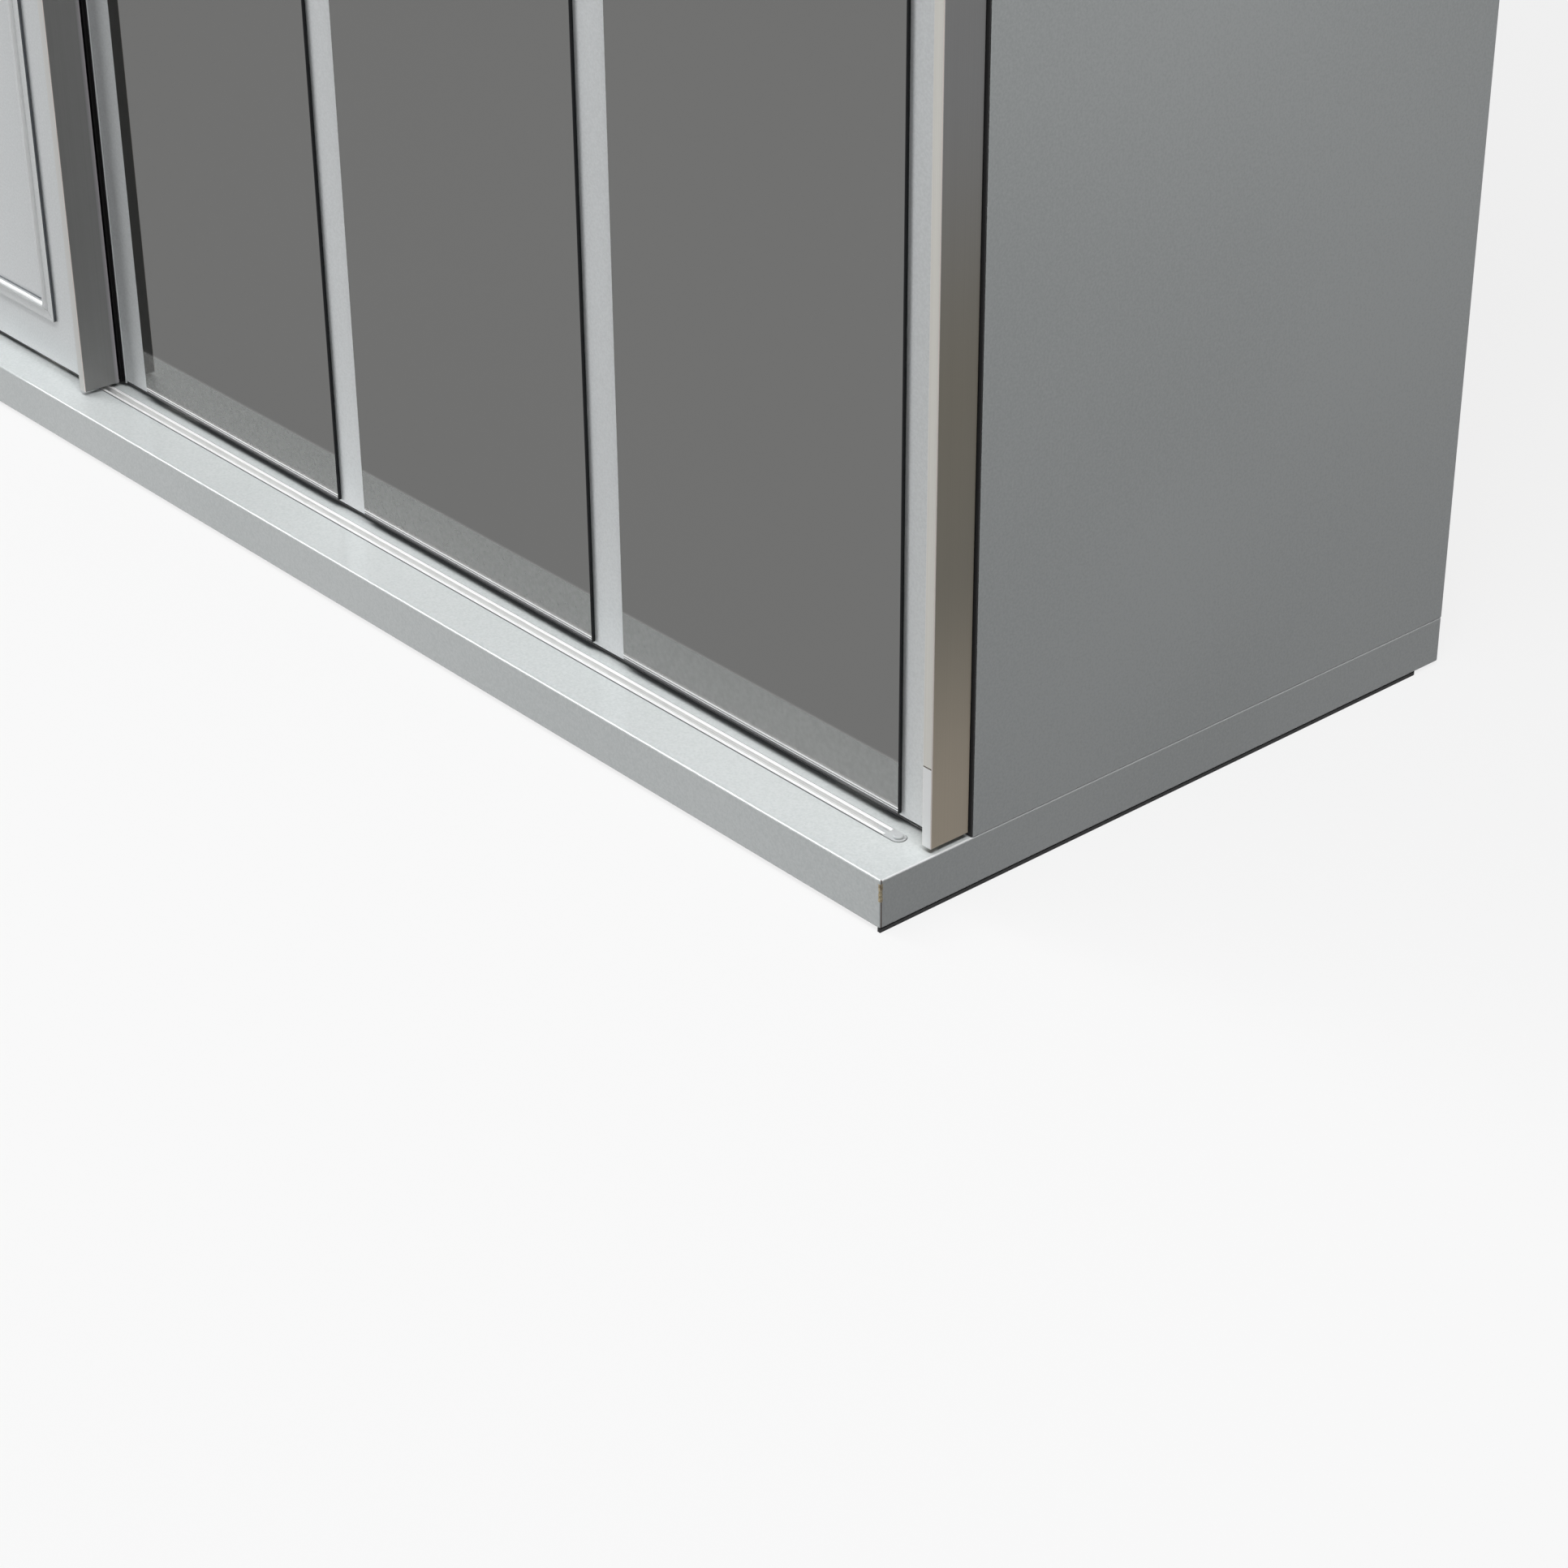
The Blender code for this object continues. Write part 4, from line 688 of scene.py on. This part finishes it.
def addPiece(name, points, polygons, body, slot):
    # a finished mesh with soft shading and sharp creases, in its slot's material, riding on its body
    mesh = bpy.data.meshes.new(name)
    mesh.from_pydata(points.tolist(), [], polygons)
    mesh.shade_smooth()
    mesh.set_sharp_from_angle(angle=math.radians(40))
    mesh.materials.append(finishes[slot])
    piece = bpy.data.objects.new(name, mesh)
    scene.collection.objects.link(piece)
    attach(piece, body)


def setHeads(name, shape, spots, axis, body, slot):
    # copies of one head, stood on their spots with the crown along the axis
    points, faces = turnedHead(shape)
    up = np.array(axis, dtype=float)
    side = np.array((0.0, 1.0, 0.0)) if abs(up[0]) > 0.5 else np.array((1.0, 0.0, 0.0))
    basis = np.stack([side, np.cross(up, side), up])
    spots = np.array(spots, dtype=float)
    every = spots[:, None, :] + (points @ basis)[None]
    steps = np.arange(len(spots)) * len(points)
    polygons = []
    for part in faces:
        polygons += (part[None] + steps[:, None, None]).reshape(-1, part.shape[1]).tolist()
    addPiece(name, every.reshape(-1, 3), polygons, body, slot)


def evenly(start, end, pitch):
    # places from start to end, about a pitch apart
    return np.linspace(start, end, max(2, round(abs(end - start) / pitch) + 1))


nailing = {"pitch": 0.150, "inset": 0.012}


def backNails():
    # nails along the rims of both back boards, and along the line of the hat shelf behind them
    spots = []
    for side in ("left", "right"):
        low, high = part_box("back_panel_" + side)
        shelfLow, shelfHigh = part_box("hat_shelf_" + side)
        xs = evenly(low[0] + nailing["inset"], high[0] - nailing["inset"], nailing["pitch"])
        for z in (low[2] + nailing["inset"], (shelfLow[2] + shelfHigh[2]) / 2, high[2] - nailing["inset"]):
            spots += [(x, high[1], z) for x in xs]
        outer = xs[0] if side == "left" else xs[-1]
        spots += [(outer, high[1], z) for z in evenly(low[2], high[2], nailing["pitch"])[1:-1]]
    setHeads("back_nails", nailHead, spots, (0, 1, 0), "carcass", "zinc_steel")


def topCaps():
    # covers over the fittings that hold the top board on the sides and the partition
    low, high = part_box("top_panel")
    ys = np.linspace(low[1], high[1], 5)[1:-1]
    uprights = ("side_panel_left", "centre_partition", "side_panel_right")
    xs = [sum(corner[0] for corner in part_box(node)) / 2 for node in uprights]
    spots = [(x, y, high[2]) for x in xs for y in ys]
    setHeads("top_screw_caps", coverCap, spots, (0, 0, 1), "carcass", "grey_plastic")


gearScrews = {
    "slotPitch": 0.042,
    "slotRise": 0.028,  # above the hanger's lower edge
    "guidePitch": 0.036,
    "guideDrop": 0.012,  # below the guide's upper edge
    "bracketPlate": 0.003,
}


def gearFixings():
    # screws of the hangers and guides on the doors' backs, and of the brackets that carry the clothes rails
    for door in ("front", "rear"):
        spots = []
        for side in ("left", "right"):
            low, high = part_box(door + "_hanger_" + side)
            x = (low[0] + high[0]) / 2
            spots += [(x + hand * gearScrews["slotPitch"] / 2, high[1], low[2] + gearScrews["slotRise"]) for hand in (-1, 1)]
            low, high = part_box(door + "_guide_" + side)
            x = (low[0] + high[0]) / 2
            z = high[2] - gearScrews["guideDrop"]
            spots += [(x + hand * gearScrews["guidePitch"] / 2, high[1], z) for hand in (-1, 1)]
        setHeads(door + "_door_screws", panHead, spots, (0, 1, 0), door + "_door", "zinc_steel")
    for side, inward in (("left", 1), ("right", -1)):
        spots = []
        for bay in ("left", "right"):
            low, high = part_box("rail_bracket_" + bay + "_bay_" + side)
            x = (low if side == "left" else high)[0] + inward * gearScrews["bracketPlate"]
            halfPlate = (high[1] - low[1]) / 2
            spots.append((x, low[1] + halfPlate, high[2] - halfPlate))
        setHeads(side + "_bracket_screws", panHead, spots, (inward, 0, 0), "carcass", "zinc_steel")


gapShadeStripShape = {"thick": 1.4, "off": 0.1, "inset": 0.3, "steps": 12}  # mm, and points round its front


def sideGapShadeStrip():
    # black rubber strip up the side panel's front edge, standing in for the shade of the gap by the closing handle: a
    # flat back, and a front whose height is the sine of the share of its width to the power of one fifth: flat with
    # rounded edges
    low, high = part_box("side_panel_right")
    turn = np.linspace(0.0, np.pi, gapShadeStripShape["steps"])
    left, right = low[0] + gapShadeStripShape["inset"] * mm, high[0] - gapShadeStripShape["inset"] * mm
    xs = (left + right) / 2 - (right - left) / 2 * np.cos(turn)
    back = low[1] - gapShadeStripShape["off"] * mm
    ys = back - (0.2 + (gapShadeStripShape["thick"] - 0.2) * np.sin(turn) ** 0.2) * mm
    xs, ys = np.concatenate([[left], xs, [right]]), np.concatenate([[back], ys, [back]])
    zs = np.array([low[2] + gapShadeStripShape["inset"] * mm, high[2] - gapShadeStripShape["inset"] * mm])
    count = len(xs)
    points = np.stack([np.tile(xs, 2), np.tile(ys, 2), np.repeat(zs, count)], axis=-1)
    here = np.arange(count)
    after = np.roll(here, -1)
    polygons = np.stack([here, after, after + count, here + count], axis=-1).tolist()
    polygons += [here[::-1].tolist(), (here + count).tolist()]
    addPiece("side_gap_shade_strip", points, polygons, "carcass", "black_rubber")


backNails()
topCaps()
gearFixings()
sideGapShadeStrip()
print("hardware set")
